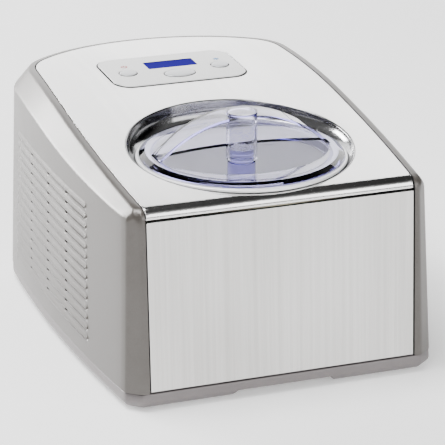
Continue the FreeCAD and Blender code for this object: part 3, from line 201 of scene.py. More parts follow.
# Tones are linear red, green and blue. The record's slots, and four finishes that only this script uses:
# the front panel's steel, a darker copy of the top's brushed steel as painted shade, the two marks' colours,
# and the painted shade black of the gaps.
painted("housing_silver", (0.085, 0.077, 0.070), rough=0.34, metal=0.3)
painted("tray_silver", (0.16, 0.145, 0.145), rough=0.42, metal=0.4)
brushed("brushed_stainless", (0.80, 0.795, 0.785), rough=0.16)
# painted shade: the front panel's brushed steel is a darker copy of the top's, for the darker look the front
# has under the lighting
brushed("front_steel_painted_shade", (0.60, 0.59, 0.575), rough=0.2)
metal("polished_steel", (0.33, 0.33, 0.335), rough=0.15, depth=0.000004)
painted("bezel_silver", (0.66, 0.66, 0.655), rough=0.38)
painted("button_grey", (0.55, 0.56, 0.58), rough=0.4)
moulded("display_blue", (0.020, 0.013, 0.15), rough=0.4, depth=0.000002, spread=0.05)
moulded("black_plastic", (0.02, 0.02, 0.022))
moulded("circuit_green", (0.02, 0.13, 0.05), rough=0.35)
metal("zinc_steel", (0.60, 0.60, 0.58), rough=0.35)
moulded("deck_plastic", (0.03, 0.03, 0.032))
moulded("switch_black", (0.03, 0.03, 0.03))
painted("cup_aluminium", (0.93, 0.93, 0.93), rough=0.4, metal=0.25, depth=0.000015)
metal("copper", (0.72, 0.40, 0.25), rough=0.28, spread=0.2)
moulded("foam", (0.75, 0.70, 0.52), rough=0.9, grain=500.0, depth=0.0004)
moulded("black_rubber", (0.018, 0.018, 0.018), rough=0.75)
metal("sintered_bronze", (0.55, 0.40, 0.22), rough=0.5)
moulded("gear_nylon", (0.78, 0.77, 0.70), rough=0.45)
moulded("black_enamel", (0.012, 0.012, 0.013), rough=0.2, depth=0.00001)
moulded("mark_red", (0.40, 0.01, 0.01), rough=0.4, depth=0.000002)
moulded("mark_blue", (0.01, 0.16, 0.40), rough=0.4, depth=0.000002)
# painted shade: a black put on the turned-in edges of the gaps and on the keys' lower walls, where there is
# only shade
moulded("painted_gap_shade", (0.006, 0.006, 0.006), rough=0.8)
clear("clear_plastic", (0.97, 0.97, 0.99), absorb=(0.72, 0.70, 0.97), density=110.0)


def glowing(name, colour, strength):
    """Adds a glow to a material; returns its shader's inputs."""
    inputs = MATERIALS[name].node_tree.nodes["Principled BSDF"].inputs
    inputs["Emission Color"].default_value = (*colour, 1.0)
    inputs["Emission Strength"].default_value = strength
    return inputs


display_inputs = glowing("display_blue", (0.01, 0.02, 0.35), 0.15)
display_inputs["Specular IOR Level"].default_value = 0.0

for entry in frame["record"]["subparts"]:
    node = NODES[entry["node"]]
    node.data.materials.clear()
    node.data.materials.append(MATERIALS[entry["material_slot"]])


# ---- sizes from the frame, in mm
def corners_of(node):
    """Low and high corner of a node's box in mm, to a tenth."""
    return np.round(np.array([tuple(corner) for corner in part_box(node)]) / MM, 1)


def middle_and_half(node):
    """Middle and half size of a node's box in mm."""
    low, high = corners_of(node)
    return (low + high) / 2, (high - low) / 2


# ---- shape of the housing, in mm
FRONT_Y, REAR_Y = corners_of("outer_housing")[:, 1]
WELD, SHARP_ANGLE = 0.02, math.radians(35)
SEAM, LOFT, HOUSING_LOW = 16.0, 220.0, 16.3      # the walls lean between the seam and the loft level
FRONT_HALF, FRONT_LEAN = 127.2, 14.4
CORNER_HALF, CORNER_Y, CORNER_LEAN = 140.4, FRONT_Y + 10.7, 7.2
SIDE_HALF, SIDE_Y, SIDE_LEAN = 152.5, 5.0, 7.6
REAR_BOW, REAR_CORNER = 190.0, 55.0
TOP_ZERO, TOP_SLOPE, TOP_CROWN = 197.4, 0.1117, 1085.0
BEVEL_FALL = 11.5 / 9.3
FOLD_RADIUS, CORNER_RADIUS, EDGE_RADIUS, RIM_RADIUS, LIP_RADIUS = 8.8, 2.5, 1.6, 0.9, 1.2
FOLD_START, FOLD_FULL = 168, 186                 # how far forward the rim's radius grows into the fold's
FOLD_LEVEL = 176.0
LIP_BLEND = (-1.5, 2.5)
PANEL_MIDDLE, PANEL_SIZE = (pair[[0, 2]] for pair in middle_and_half("front_panel"))
SHEET_GAP = 1.1
RIM_RANGE = (150.0, 219.0)                       # the wall's upper edge lies between these levels
TURN_IN, SEAM_TURN_IN = 3.0, 5.0                 # how far the housing's edges are turned in

# louvres: number, lowest level, pitch, how far they stand out, and where they end at the front and the rear
LOUVRES, LOUVRE_LOW, LOUVRE_PITCH, LOUVRE_PROUD = 14, 35.2, 8.97, 1.35
LOUVRE_FRONT_LOW, LOUVRE_FRONT_HIGH, LOUVRE_REAR = -117.0, -105.0, 102.0
# a louvre's section, measured from its own level, and its rounded ends
LOUVRE_FOOT, LOUVRE_RISE, LOUVRE_FADE, LOUVRE_FALL, LOUVRE_MIDDLE = -2.3, 0.5, 2.885, 4.2, -0.9
LOUVRE_END, LOUVRE_TIP = 5.0, 0.9
GROOVE_LEVEL, GROOVE_HALF, GROOVE_DEPTH, GROOVE_END = -2.95, 1.6, 2.2, 6.0
BAND_LOW, BAND_HIGH = LOUVRE_LOW - LOUVRE_PITCH / 2, LOUVRE_LOW + (LOUVRES - 0.5) * LOUVRE_PITCH
VENT_LONG, VENT_HIGH, VENT_CELL, VENT_CLEAR, VENT_DEPTH = 2.5, 1.2, 2.9, 4.4, 4.5
VENT_PLACES = (-61.0, -8.5, 46.5)
GLAND_Z, GLAND_HOLE, GLAND_ROOM, GLAND_WALL = middle_and_half("power_gland")[0][2], 7.0, 9.0, 4.0

# where the rows of the skin stand: levels under the louvres and in each pitch, then shares of each part above
LOW_LEVELS = [HOUSING_LOW, HOUSING_LOW + 0.3, 18.0, 22.0, 26.0]
PITCH_LEVELS = (-LOUVRE_PITCH / 2, -LOUVRE_FADE, LOUVRE_FOOT, -2.05, -1.7, -1.1, -0.2, 0.9, 2.0, LOUVRE_FADE)
WALL_SHARES = (0.2, 0.4, 0.58, 0.7, 0.8, 0.88, 0.94, 0.975, 1.0)
BEVEL_SHARES = (0.04, 0.1, 0.2, 0.4, 0.6, 0.8, 0.9, 0.96, 1.0)
LIP_SHARES = (0.12, 0.28, 0.5, 0.75, 0.92, 1.0)


class Rounded:
    """Plan curve of bowed sides and a bowed rear joined by rounded corners; its numbers may be arrays."""

    def __init__(self, corner, widest, rear, rear_radius, corner_radius):
        self.corner = corner
        run, rise = widest[0] - corner[0], widest[1] - corner[1]
        self.side_radius = (run * run + rise * rise) / (2 * run)
        self.side = (widest[0] - self.side_radius, widest[1] + 0 * run)
        self.rear = (0 * run, rear - rear_radius)
        self.rear_radius, self.corner_radius = rear_radius, corner_radius
        to_side, to_rear = self.side_radius - corner_radius, rear_radius - corner_radius
        apart = (self.rear[0] - self.side[0], self.rear[1] - self.side[1])
        length = np.hypot(*apart)
        along = (to_side ** 2 - to_rear ** 2 + length ** 2) / (2 * length)
        across = np.sqrt(to_side ** 2 - along ** 2)
        unit = (apart[0] / length, apart[1] / length)
        self.turn = (self.side[0] + unit[0] * along - unit[1] * across,
                     self.side[1] + unit[1] * along + unit[0] * across)

    def distance(self, x, y):
        """Distance outside the curve, negative inside."""
        x = np.abs(x)
        to_x, to_y = x - self.turn[0], y - self.turn[1]
        side_x, side_y = self.turn[0] - self.side[0], self.turn[1] - self.side[1]
        rear_x, rear_y = self.turn[0] - self.rear[0], self.turn[1] - self.rear[1]
        past_side = side_x * to_y - side_y * to_x > 0
        before_rear = to_x * rear_y - to_y * rear_x > 0
        on_side = np.hypot(x - self.side[0], y - self.side[1]) - self.side_radius
        on_turn = np.hypot(to_x, to_y) - self.corner_radius
        on_rear = np.hypot(x - self.rear[0], y - self.rear[1]) - self.rear_radius
        return np.where(past_side & before_rear, on_turn, np.where(past_side, on_rear, on_side))

    def outside(self, point):
        return self.distance(point[:, 0], point[:, 1])

    def points(self, along_side, turn_count, rear_count):
        """Points from the front corner to the middle of the rear."""
        end_angle = np.arctan2(self.turn[1] - self.side[1], self.turn[0] - self.side[0])
        end_y = self.side[1] + self.side_radius * np.sin(end_angle)
        y = self.corner[1] + along_side * (end_y - self.corner[1])
        side = np.stack([self.side[0] + np.sqrt(self.side_radius ** 2 - (y - self.side[1]) ** 2), y], 1)
        last_angle = np.arctan2(self.turn[1] - self.rear[1], self.turn[0] - self.rear[0])
        angles = np.linspace(end_angle, last_angle, turn_count + 1)[1:]
        turn = np.stack([self.turn[0] + self.corner_radius * np.cos(angles),
                         self.turn[1] + self.corner_radius * np.sin(angles)], 1)
        angles = np.linspace(last_angle, math.pi / 2, rear_count + 1)[1:]
        rear = np.stack([self.rear[0] + self.rear_radius * np.cos(angles),
                         self.rear[1] + self.rear_radius * np.sin(angles)], 1)
        return np.concatenate([side, turn, rear])


def lean(z):
    return (z - SEAM) / (LOFT - SEAM)


def front_edge(z):
    return FRONT_HALF - 0.4 * SIDE_LEAN * lean(z), FRONT_Y + FRONT_LEAN * lean(z)


def corner_edge(z):
    return CORNER_HALF - CORNER_LEAN * lean(z), CORNER_Y + FRONT_LEAN * lean(z)


def wall_curve(z):
    corner = corner_edge(z)
    widest = (SIDE_HALF - SIDE_LEAN * lean(z), SIDE_Y)
    return Rounded(corner, widest, REAR_Y - 0.25 * SIDE_LEAN * lean(z), REAR_BOW, REAR_CORNER)


LIP = Rounded((124.9, -220.0), (132.0, -35.0), 198.0, 165.0, 50.0)
SHEET = Rounded((118.8, -211.9), (125.5, -35.0), 191.8, 160.0, 45.0)


def top_height(y):
    crown = np.where(y > 0, y * y / (2 * TOP_CROWN), 0.0)
    return TOP_ZERO + TOP_SLOPE * y - crown


def rounded_max(a, b, radius):
    """Joins two distances so that the edge between them has a radius."""
    inside = np.minimum(np.maximum(a, b), -radius)
    return inside + np.hypot(np.maximum(a + radius, 0), np.maximum(b + radius, 0))


def smooth_step(value, low, high):
    share = np.clip((value - low) / (high - low), 0, 1)
    return share * share * (3 - 2 * share)


def wall_distance(x, y, z):
    front_x, front_y = front_edge(z)
    corner_x, corner_y = corner_edge(z)
    normal_x, normal_y = corner_y - front_y, front_x - corner_x
    size = np.hypot(normal_x, normal_y)
    chamfer = ((np.abs(x) - corner_x) * normal_x + (y - corner_y) * normal_y) / size
    front = rounded_max(front_y - y, chamfer, EDGE_RADIUS)
    return rounded_max(front, wall_curve(z).distance(x, y), EDGE_RADIUS)


def upper_distance(x, y, z):
    over = z - top_height(y)
    bevel = (over + BEVEL_FALL * LIP.distance(x, y)) / math.hypot(1, BEVEL_FALL)
    return rounded_max(bevel, over, LIP_RADIUS)


def housing_distance(point):
    x, y, z = point.T
    front_radius = FOLD_RADIUS + (CORNER_RADIUS - FOLD_RADIUS) * smooth_step(LIP.outside(point), *LIP_BLEND)
    radius = RIM_RADIUS + (front_radius - RIM_RADIUS) * smooth_step(-y, FOLD_START, FOLD_FULL)
    return rounded_max(wall_distance(x, y, z), upper_distance(x, y, z), radius)


def gradient(function, point, step=0.02):
    """Slope of a function of points along each of their axes."""
    slopes = []
    for axis in step * np.eye(point.shape[1]):
        slopes.append((function(point + axis) - function(point - axis)) / (2 * step))
    return np.stack(slopes, -1)


def settled(function, point, rounds=8):
    """Moves points on to the surface where the function is zero; returns them and their normals."""
    for _ in range(rounds):
        slope = gradient(function, point)
        point = point - (function(point) / (slope ** 2).sum(-1))[:, None] * slope
    slope = gradient(function, point)
    return point, slope / np.linalg.norm(slope, axis=1)[:, None]


def eased(count, ends=0.5):
    """Positions from 0 to 1, closer together at both ends."""
    t = np.linspace(0, 1, count)
    return (1 - ends) * t + ends * (1 - np.cos(math.pi * t)) / 2


def louvre_height(y, z):
    """How far the louvres stand out at a place on the side; the groove under each one is set in."""
    index = np.clip(np.round((z - LOUVRE_LOW) / LOUVRE_PITCH), 0, LOUVRES - 1)
    nose = LOUVRE_FRONT_LOW + (LOUVRE_FRONT_HIGH - LOUVRE_FRONT_LOW) * index / (LOUVRES - 1)
    from_end = np.minimum(y - nose, LOUVRE_REAR - y)
    reach = np.clip(from_end / LOUVRE_END, 1e-4, 1)
    width = np.sqrt(reach * (2 - reach))
    level = z - LOUVRE_LOW - index * LOUVRE_PITCH
    over = (level - LOUVRE_MIDDLE) / width + LOUVRE_MIDDLE
    rise = np.clip((over - LOUVRE_FOOT) / LOUVRE_RISE, 0, 1)
    fall = np.clip((LOUVRE_FADE - over) / LOUVRE_FALL, 0, 1)
    slat = LOUVRE_PROUD * np.sqrt(rise) * fall ** 0.8 * np.clip(from_end / LOUVRE_TIP, 0, 1) ** 0.6
    under = np.clip(1 - np.abs(level - GROOVE_LEVEL) / GROOVE_HALF, 0, 1)
    groove = GROOVE_DEPTH * under ** 0.7 * np.clip(from_end / GROOVE_END, 0, 1)
    return np.where(over > LOUVRE_FOOT, slat, -groove)


def grid_faces(rows, columns, skip=()):
    """Quads of a grid of points kept row after row."""
    faces = []
    for row in range(rows - 1):
        for column in range(columns - 1):
            if (row, column) not in skip:
                first = row * columns + column
                faces.append((first, first + 1, first + columns + 1, first + columns))
    return faces


def mirrored(points, faces):
    """Adds the mirror image across the middle plane."""
    count = len(points)
    other = points * np.array([-1, 1, 1])
    flipped = [tuple(count + index for index in reversed(face)) for face in faces]
    return np.concatenate([points, other]), list(faces) + flipped


def joined(*parts):
    """One set of points and faces from several."""
    points, faces = [], []
    for part_points, part_faces in parts:
        used = sum(map(len, points))
        faces += [tuple(used + index for index in face) for face in part_faces]
        points.append(part_points)
    return np.concatenate(points), faces


def mesh_object(name, points, faces, finishes, which=(0,)):
    """Mesh from points in mm; equal points are joined and only sharp edges stay unsmoothed.

    Which gives each face's place in the finishes, unless all have the first one."""
    mesh = bpy.data.meshes.new(name)
    mesh.from_pydata((MM * points).tolist(), [], faces)
    for finish in finishes[:max(which) + 1]:
        mesh.materials.append(MATERIALS[finish])
    if len(which) > 1:
        mesh.polygons.foreach_set("material_index", which)
    work = bmesh.new()
    work.from_mesh(mesh)
    bmesh.ops.remove_doubles(work, verts=work.verts, dist=WELD * MM)
    bmesh.ops.dissolve_degenerate(work, dist=0.2 * WELD * MM, edges=work.edges)
    work.to_mesh(mesh)
    work.free()
    mesh.polygons.foreach_set("use_smooth", [True] * len(mesh.polygons))
    mesh.set_sharp_from_angle(angle=SHARP_ANGLE)
    obj = bpy.data.objects.new(name, mesh)
    bpy.context.scene.collection.objects.link(obj)
    return obj


def wall_plan(z, chamfer_shares, along_side, turn_count, rear_count):
    """Plan of the wall at a height: chamfer, side, rear corner, and half of the rear."""
    front, corner = np.array(front_edge(z)), np.array(corner_edge(z))
    chamfer = front + chamfer_shares[:, None] * (corner - front)
    return np.concatenate([chamfer, wall_curve(z).points(along_side, turn_count, rear_count)])


def gland_patch(outline):
    """Part of the rear wall round the cord gland; the outline is given in X and Z."""
    hole = oval((0, GLAND_Z), GLAND_HOLE, 40)
    plan, triangles = filled([outline], [[hole]], 6.0)
    y = np.full(len(plan), REAR_Y)
    for _ in range(10):
        point = np.stack([plan[:, 0], y, plan[:, 1]], 1)
        y = y - housing_distance(point) / gradient(housing_distance, point)[:, 1]
    points = np.stack([plan[:, 0], y, plan[:, 1]], 1)
    at_hole = np.hypot(plan[:, 0], plan[:, 1] - GLAND_Z) < GLAND_HOLE + 0.01
    return with_return(points, triangles[:, ::-1], at_hole[:, None] * np.array([[0, -GLAND_WALL, 0]]))


def side_marks():
    """Places of the columns along the side: close together at the louvres' ends and at the vents."""
    first, last = wall_curve(HOUSING_LOW).points(np.array([0.0, 1.0]), 1, 1)[:2, 1]
    marks = [*np.linspace(first, -122, 9), *np.arange(-119.5, -98, 0.55), *np.linspace(-97, 95, 40)]
    marks += [*np.arange(96, 103.5, 0.7), *np.linspace(106, last, 6)]
    for place in VENT_PLACES:
        marks = [mark for mark in marks if abs(mark - place) > VENT_CLEAR]
        marks += [place - VENT_CELL, place, place + VENT_CELL]
    marks = np.array(sorted(marks))
    return marks, (marks - first) / (last - first)


def on_top(curve, offset, points):
    """Moves points in plan to a distance outside a curve and puts them on the sloping top."""
    moved = points - (curve.outside(points) - offset)[:, None] * gradient(curve.outside, points)
    moved[:, 2] = top_height(moved[:, 1])
    return moved


def housing_rows(levels, chamfer_shares, along_side):
    """Rows of points up the wall, over the bevel, and over the lip to the gap round the top sheet."""
    at_low, at_high = (wall_plan(z, chamfer_shares, along_side, 22, 30) for z in (HOUSING_LOW, LOFT))

    def wall_points(z):
        share = ((z - HOUSING_LOW) / (LOFT - HOUSING_LOW))[:, None]
        return np.concatenate([at_low + share * (at_high - at_low), z[:, None]], 1)

    count = len(at_low)
    low, high = (np.full(count, level) for level in RIM_RANGE)
    for _ in range(40):
        middle = (low + high) / 2
        outside = upper_distance(*wall_points(middle).T) > 0
        low, high = np.where(outside, low, middle), np.where(outside, middle, high)
    rim_z = (low + high) / 2
    walls = [wall_points(np.full(count, level)) for level in levels]
    walls += [wall_points(BAND_HIGH + share * (rim_z - BAND_HIGH)) for share in WALL_SHARES]
    rim = walls[-1]
    lip = on_top(LIP, 0.0, rim)
    lip[0] = (*rim[0, :2], top_height(rim[0, 1]))
    gap = on_top(SHEET, SHEET_GAP, lip)
    upper = [rim + share * (lip - rim) for share in BEVEL_SHARES]
    upper += [lip + share * (gap - lip) for share in LIP_SHARES]
    return walls, upper, lip, gap


def front_strip(walls, lip, gap):
    """Rows across the front, from the chamfer to the opening for the front panel."""
    shares = np.array((0.0, *LIP_SHARES))[:, None]
    inner = np.linspace(PANEL_SIZE[0] + SHEET_GAP, gap[0, 0], len(walls))
    strips = [row[0] + shares * np.array([x - row[0, 0], 0, 0]) for row, x in zip(walls, inner)]
    strips[-1] = lip[0] + shares * (gap[0] - lip[0])
    return np.concatenate(strips)


def vent_tube(around, centre, points, normals, used):
    """Closes the wall round one vent and lines its short tube; around are the eight points of the wall."""
    middle, normal = points[centre], normals[centre]
    side = np.cross(normal, (0, 0, 1.0))
    side /= np.linalg.norm(side)
    upright = np.cross(side, normal)
    reach = points[around] - middle
    ring = np.arctan2(reach @ upright, reach @ side)
    angles = []
    for first, second in zip(ring, np.roll(ring, -1)):
        step = (second - first + math.pi) % (2 * math.pi) - math.pi
        angles += [first, first + step / 2]
    spread = VENT_LONG * np.cos(angles)[:, None] * side + VENT_HIGH * np.sin(angles)[:, None] * upright
    tube = np.concatenate([middle + spread, middle + spread - VENT_DEPTH * normal])
    count, faces = len(angles), []
    for k, (a, b) in enumerate(zip(around, around[1:] + around[:1])):
        first, second, third = used + 2 * k, used + 2 * k + 1, used + (2 * k + 2) % count
        faces += [(a, second, first), (a, b, second), (b, third, second)]
    for k in range(count):
        a, b = used + k, used + (k + 1) % count
        faces.append((a, b, b + count, a + count))
    return tube, faces


def turned_in(edge, *offsets):
    """Carries an edge on by each offset."""
    lines = [edge, *(edge + np.array(offset) for offset in offsets)]
    return np.concatenate(lines), grid_faces(len(lines), len(edge))


def turned_over(part):
    return part[0], [face[::-1] for face in part[1]]


def housing_shell():
    """Skin of the housing: louvred walls, bevel, lip, and edges turned in at every opening."""
    marks, along_side = side_marks()
    chamfer_shares = eased(11, 0.9)[:-1]
    centres = LOUVRE_LOW + LOUVRE_PITCH * np.arange(LOUVRES)
    levels = [*LOW_LEVELS, *np.add.outer(centres, PITCH_LEVELS).ravel(), BAND_HIGH]
    walls, upper, lip, gap = housing_rows(levels, chamfer_shares, along_side)
    rows, count = len(walls) + len(upper), len(lip)
    outer, normals = settled(housing_distance, np.concatenate(walls + upper))
    strip = settled(housing_distance, front_strip(walls, lip, gap))[0]
    y, z = outer[:, 1], outer[:, 2]
    on_band = (z > BAND_LOW) & (z < BAND_HIGH) & (y > LOUVRE_FRONT_LOW - 1) & (y < LOUVRE_REAR)
    outer = outer + np.where(on_band, louvre_height(y, z), 0.0)[:, None] * normals
    # four grid cells round each vent give way to a ring and a short tube
    steps = [(-1, -1), (-1, 0), (-1, 1), (0, 1), (1, 1), (1, 0), (1, -1), (0, -1)]
    skip, tubes, tube_faces, used = set(), [], [], len(outer)
    for index in range(1, LOUVRES):
        row = len(LOW_LEVELS) + len(PITCH_LEVELS) * index
        for place in VENT_PLACES:
            column = len(chamfer_shares) + int(np.argmin(np.abs(marks - place)))
            skip.update((row + a, column + b) for a in (-1, 0) for b in (-1, 0))
            around = [(row + a) * count + column + b for a, b in steps]
            tube, faces = vent_tube(around, row * count + column, outer, normals, used)
            tubes.append(tube)
            tube_faces += faces
            used += len(tube)
    # the rear gives way to a patch with the round hole for the cord gland
    below = max(row for row, level in enumerate(levels) if level < GLAND_Z - GLAND_ROOM)
    above = min(row for row, level in enumerate(levels) if level > GLAND_Z + GLAND_ROOM)
    beside = count - 1 - int(np.sum(outer[:count, 0] < GLAND_ROOM))
    skip.update((row, column) for row in range(below, above) for column in range(beside, count - 1))
    outline = [below * count + column for column in range(count - 1, beside - 1, -1)]
    outline += [row * count + beside for row in range(below + 1, above)]
    outline += [above * count + column for column in range(beside, count)]
    outline = outer[outline][:, [0, 2]]
    patch = gland_patch(np.concatenate([outline, outline[::-1][1:-1] * np.array([-1, 1])]))[:2]
    wall = np.concatenate([outer, *tubes]), grid_faces(rows, count, skip) + tube_faces
    front = turned_over((strip, grid_faces(len(walls), len(LIP_SHARES) + 1)))
    # the edges turned in at the top sheet, at the seam and beside the front panel: painted shade black, so
    # the gaps read dark
    at_sheet = turned_in(outer[-count:], (0, 0, -TURN_IN), (0, 0, -2 * TURN_IN))
    at_seam = turned_over(turned_in(outer[:count], -SEAM_TURN_IN * normals[:count] * (1, 1, 0)))
    inner_edge = strip[len(LIP_SHARES)::len(LIP_SHARES) + 1]
    at_panel = turned_in(inner_edge, (0, TURN_IN, 0), (0, 2 * TURN_IN, 0))
    edges = joined(at_sheet, at_seam, at_panel)
    points, faces = joined(mirrored(*joined(wall, front, edges)), patch)
    half = [0] * (len(wall[1]) + len(front[1])) + [1] * len(edges[1])
    return points, faces, half + half + [0] * len(patch[1])


TRAY_FLOOR, TRAY_BAND, TRAY_TOP, TRAY_INSET, TRAY_UNDERCUT = 1.5, 9.0, 16.0, 0.6, 11.0
NOTCH_TOP, NOTCH_BOTTOM, NOTCH_RISE = 42.0, 50.0, 8.0


def tray_inset(z):
    """How far the tray's wall is set in: upright band, then rounded under."""
    below = np.clip((TRAY_BAND - z) / (TRAY_BAND - TRAY_FLOOR), 0, 1)
    return TRAY_INSET + TRAY_UNDERCUT * (1 - np.sqrt(1 - below ** 2))


def tray_skin():
    """Plinth: upright band, rounded underside with a raised notch at the front, and a floor."""
    front_x = [0, 14, 28, 38, 41, *np.linspace(NOTCH_TOP, NOTCH_BOTTOM, 9), 51, 54, 65, 85, 105, 118, 124]
    chamfer_shares, along_side = eased(9, 0.8)[:-1], np.linspace(0, 1, 60)

    def settled_row(level, inset):
        flat = [(x, front_edge(level)[1]) for x in front_x]
        point = np.concatenate([flat, wall_plan(level, chamfer_shares, along_side, 20, 24)])

        def distance(plan):
            return wall_distance(*plan.T, np.full(len(plan), level)) + inset

        return settled(distance, point, 10)[0]

    angles = np.radians(np.arange(0, 91, 9))
    profile = [(TRAY_TOP, 7.0), (TRAY_TOP, 1.4), (TRAY_TOP - 0.25, 0.9), (TRAY_TOP - 0.7, TRAY_INSET)]
    profile.append((TRAY_BAND + 0.5, TRAY_INSET))
    profile += [(z, tray_inset(z)) for z in TRAY_BAND - (TRAY_BAND - TRAY_FLOOR) * np.sin(angles)]
    profile += [(TRAY_FLOOR, 30.0), (TRAY_FLOOR, 31.0)]
    rows = []
    for number, (z, inset) in enumerate(profile):
        plan = settled_row(max(z, TRAY_BAND), inset)
        notch = NOTCH_RISE * np.clip((NOTCH_BOTTOM - plan[:, 0]) / (NOTCH_BOTTOM - NOTCH_TOP), 0, 1)
        notch = np.where(plan[:, 1] < 0, notch, 0.0)
        if number == len(profile) - 1:
            notch = 0 * notch
        level = np.maximum(z, notch)
        raised = (notch > z) & (number < len(profile) - 2)
        at_notch = tray_inset(level) - inset
        plan[:, 1] = np.where(raised, plan[:, 1] + at_notch, plan[:, 1])
        rows.append(np.concatenate([plan, level[:, None]], 1))
    count = len(rows[0])
    faces = [face[::-1] for face in grid_faces(len(rows), count)]
    points, faces = mirrored(np.concatenate(rows), faces)
    last = (len(rows) - 1) * count
    half = len(points) // 2
    faces.append((*range(last, last + count), *range(half + last + count - 1, half + last - 1, -1)))
    return points, faces


# ---- sheets, well and control panel, in mm
AXIS_Y = middle_and_half("mixing_bowl")[0][1]
WELL_RADIUS, WELL_FILLET, WELL_FLOOR, WELL_ROLL, WELL_GAP = 99.9, 15.0, 175.2, 1.0, 0.3
THROAT_RADIUS = 82.6
SHEET_EDGE, SHEET_RETURN, SHEET_LOW, SHEET_SET_BACK = 0.45, 3.0, 167.2, 0.4
EDGE_STEPS = (0.0, 0.06, 0.2, SHEET_EDGE, SHEET_EDGE + 0.15)
PANEL_CORNER = 1.0
BEZEL_CORNER, BEZEL_PROUD, BEZEL_GAP = 16.0, 0.9, 1.4
BEZEL = (*(pair[:2] for pair in middle_and_half("control_bezel")), BEZEL_CORNER)
LCD_MIDDLE, LCD_SIZE = (pair[:2] for pair in middle_and_half("display_window"))
LCD_CORNER, LCD_ROOM, LCD_SUNK = 0.8, 0.1, 0.4
BUTTON_FLANGE, BUTTON_GAP, BUTTON_PROUD, BUTTON_DOME, BUTTON_EDGE = 1.0, 0.95, 1.6, 0.35, 0.2
# the middle of each key and the half size of its hole in the bezel; a hidden flange makes the key wider
BUTTONS = {}
for name in ("power_button", "start_button", "chill_button"):
    middle, half = middle_and_half(name)
    BUTTONS[name] = (middle[:2], half[:2] - BUTTON_FLANGE)
SLIVER = 0.004                    # a triangle whose doubled area in square mm is smaller is left out


def spokes(count, inner, outer):
    """Short lines that point away from a centre, the first one upward."""
    lines = []
    for angle in np.radians(90 + np.arange(count) * 360 / count):
        along = np.array([math.cos(angle), math.sin(angle)])
        lines.append((inner * along, outer * along))
    return lines


def arc_lines(radius, first, last, count):
    """A part of a circle as short lines."""
    angles = np.radians(np.linspace(first, last, count + 1))
    places = [radius * np.array([math.cos(angle), math.sin(angle)]) for angle in angles]
    return list(zip(places, places[1:]))


# a plain on-off mark and a plain six-armed frost mark
MARK_WIDTH = 1.3
POWER_MARK = ((-42.1, 101.7), arc_lines(2.6, 125, 415, 14) + [(np.array([0, 0.2]), np.array([0, 3.6]))])
CHILL_MARK = ((47.8, 98.6), spokes(6, 0.1, 3.1))


def oval(middle, half, count=48):
    angles = np.arange(count) * 2 * math.pi / count
    return middle + half * np.stack([np.cos(angles), np.sin(angles)], 1)


def rounded_rectangle(middle, half, radius, grow=0.0, count=9):
    """Outline of a rectangle with rounded corners, grown by a distance."""
    points = []
    for x, y, start in ((1, -1, -90), (1, 1, 0), (-1, 1, 90), (-1, -1, 180)):
        angles = np.radians(start + np.linspace(0, 90, count))
        arc = (radius + grow) * np.stack([np.cos(angles), np.sin(angles)], 1)
        points.append(middle + (half - radius) * (x, y) + arc)
    return np.concatenate(points)


def rectangle_distance(plan, middle, half, radius):
    """Distance outside a rectangle with rounded corners."""
    over = np.abs(plan - middle) - half + radius
    return np.hypot(*np.maximum(over, 0).T) + np.minimum(over.max(1), 0) - radius


def filled(outer, holes, spacing, extra=()):
    """Triangles between an outer loop and its holes, with a grid of points between them.

    Every loop is a list of nested rings; the first ring is the edge itself."""
    points, edges = [], []
    for rings in [outer] + holes:
        for ring in rings:
            start = len(points)
            points += [tuple(point) for point in ring]
            edges += [(start + k, start + (k + 1) % len(ring)) for k in range(len(ring))]
    low, high = np.min(outer[0], 0), np.max(outer[0], 0)
    x, y = np.meshgrid(np.arange(low[0], high[0], spacing), np.arange(low[1], high[1], spacing))
    grid = np.stack([x.ravel(), y.ravel()], 1)
    if len(extra):
        grid = np.concatenate([grid, extra])
    keep = inside_loop(grid, outer[-1])
    for rings in holes:
        keep &= ~inside_loop(grid, rings[-1])
    points += [tuple(point) for point in grid[keep]]
    result = delaunay_2d_cdt([Vector(point) for point in points], edges, [], 0, 1e-4)
    plan = np.array([tuple(point) for point in result[0]])
    triangles = np.array([tuple(face) for face in result[2]])
    centres = plan[triangles].mean(1)
    keep = inside_loop(centres, outer[0])
    for rings in holes:
        keep &= ~inside_loop(centres, rings[0])
    triangles = triangles[keep]
    a, b, c = (plan[triangles[:, k]] for k in range(3))
    turn = (b[:, 0] - a[:, 0]) * (c[:, 1] - a[:, 1]) - (b[:, 1] - a[:, 1]) * (c[:, 0] - a[:, 0])
    triangles[turn < 0] = triangles[turn < 0][:, ::-1]
    return plan, triangles[np.abs(turn) > SLIVER]


def inside_loop(points, loop):
    """Which points lie inside a closed loop."""
    inside = np.zeros(len(points), bool)
    x, y = points[:, 0], points[:, 1]
    for (x0, y0), (x1, y1) in zip(loop, np.roll(loop, -1, 0)):
        crossing = (y0 > y) != (y1 > y)
        if y0 != y1:
            inside ^= crossing & (x < x0 + (y - y0) * (x1 - x0) / (y1 - y0))
    return inside


def edge_drop(distance, radius):
    """Fall of a rounded edge at a distance inside it."""
    inner = radius - np.clip(distance, 0, radius)
    return radius - np.sqrt(radius ** 2 - inner ** 2)


def with_return(points, triangles, offset):
    """Turns every open edge of a surface in by an offset; the returned edges get the second finish, a painted
    shade black.
    """
    directed = {edge for a, b, c in triangles for edge in ((a, b), (b, c), (c, a))}
    border = [(a, b) for a, b in sorted(directed) if (b, a) not in directed]
    index, extra = {}, []
    for vertex in sorted({vertex for edge in border for vertex in edge}):
        index[vertex] = len(points) + len(extra)
        extra.append(points[vertex] + offset[vertex])
    faces = [tuple(face) for face in triangles]
    faces += [(b, a, index[a], index[b]) for a, b in border]
    which = [0] * len(triangles) + [1] * len(border)
    return np.concatenate([points, np.array(extra)]), faces, which


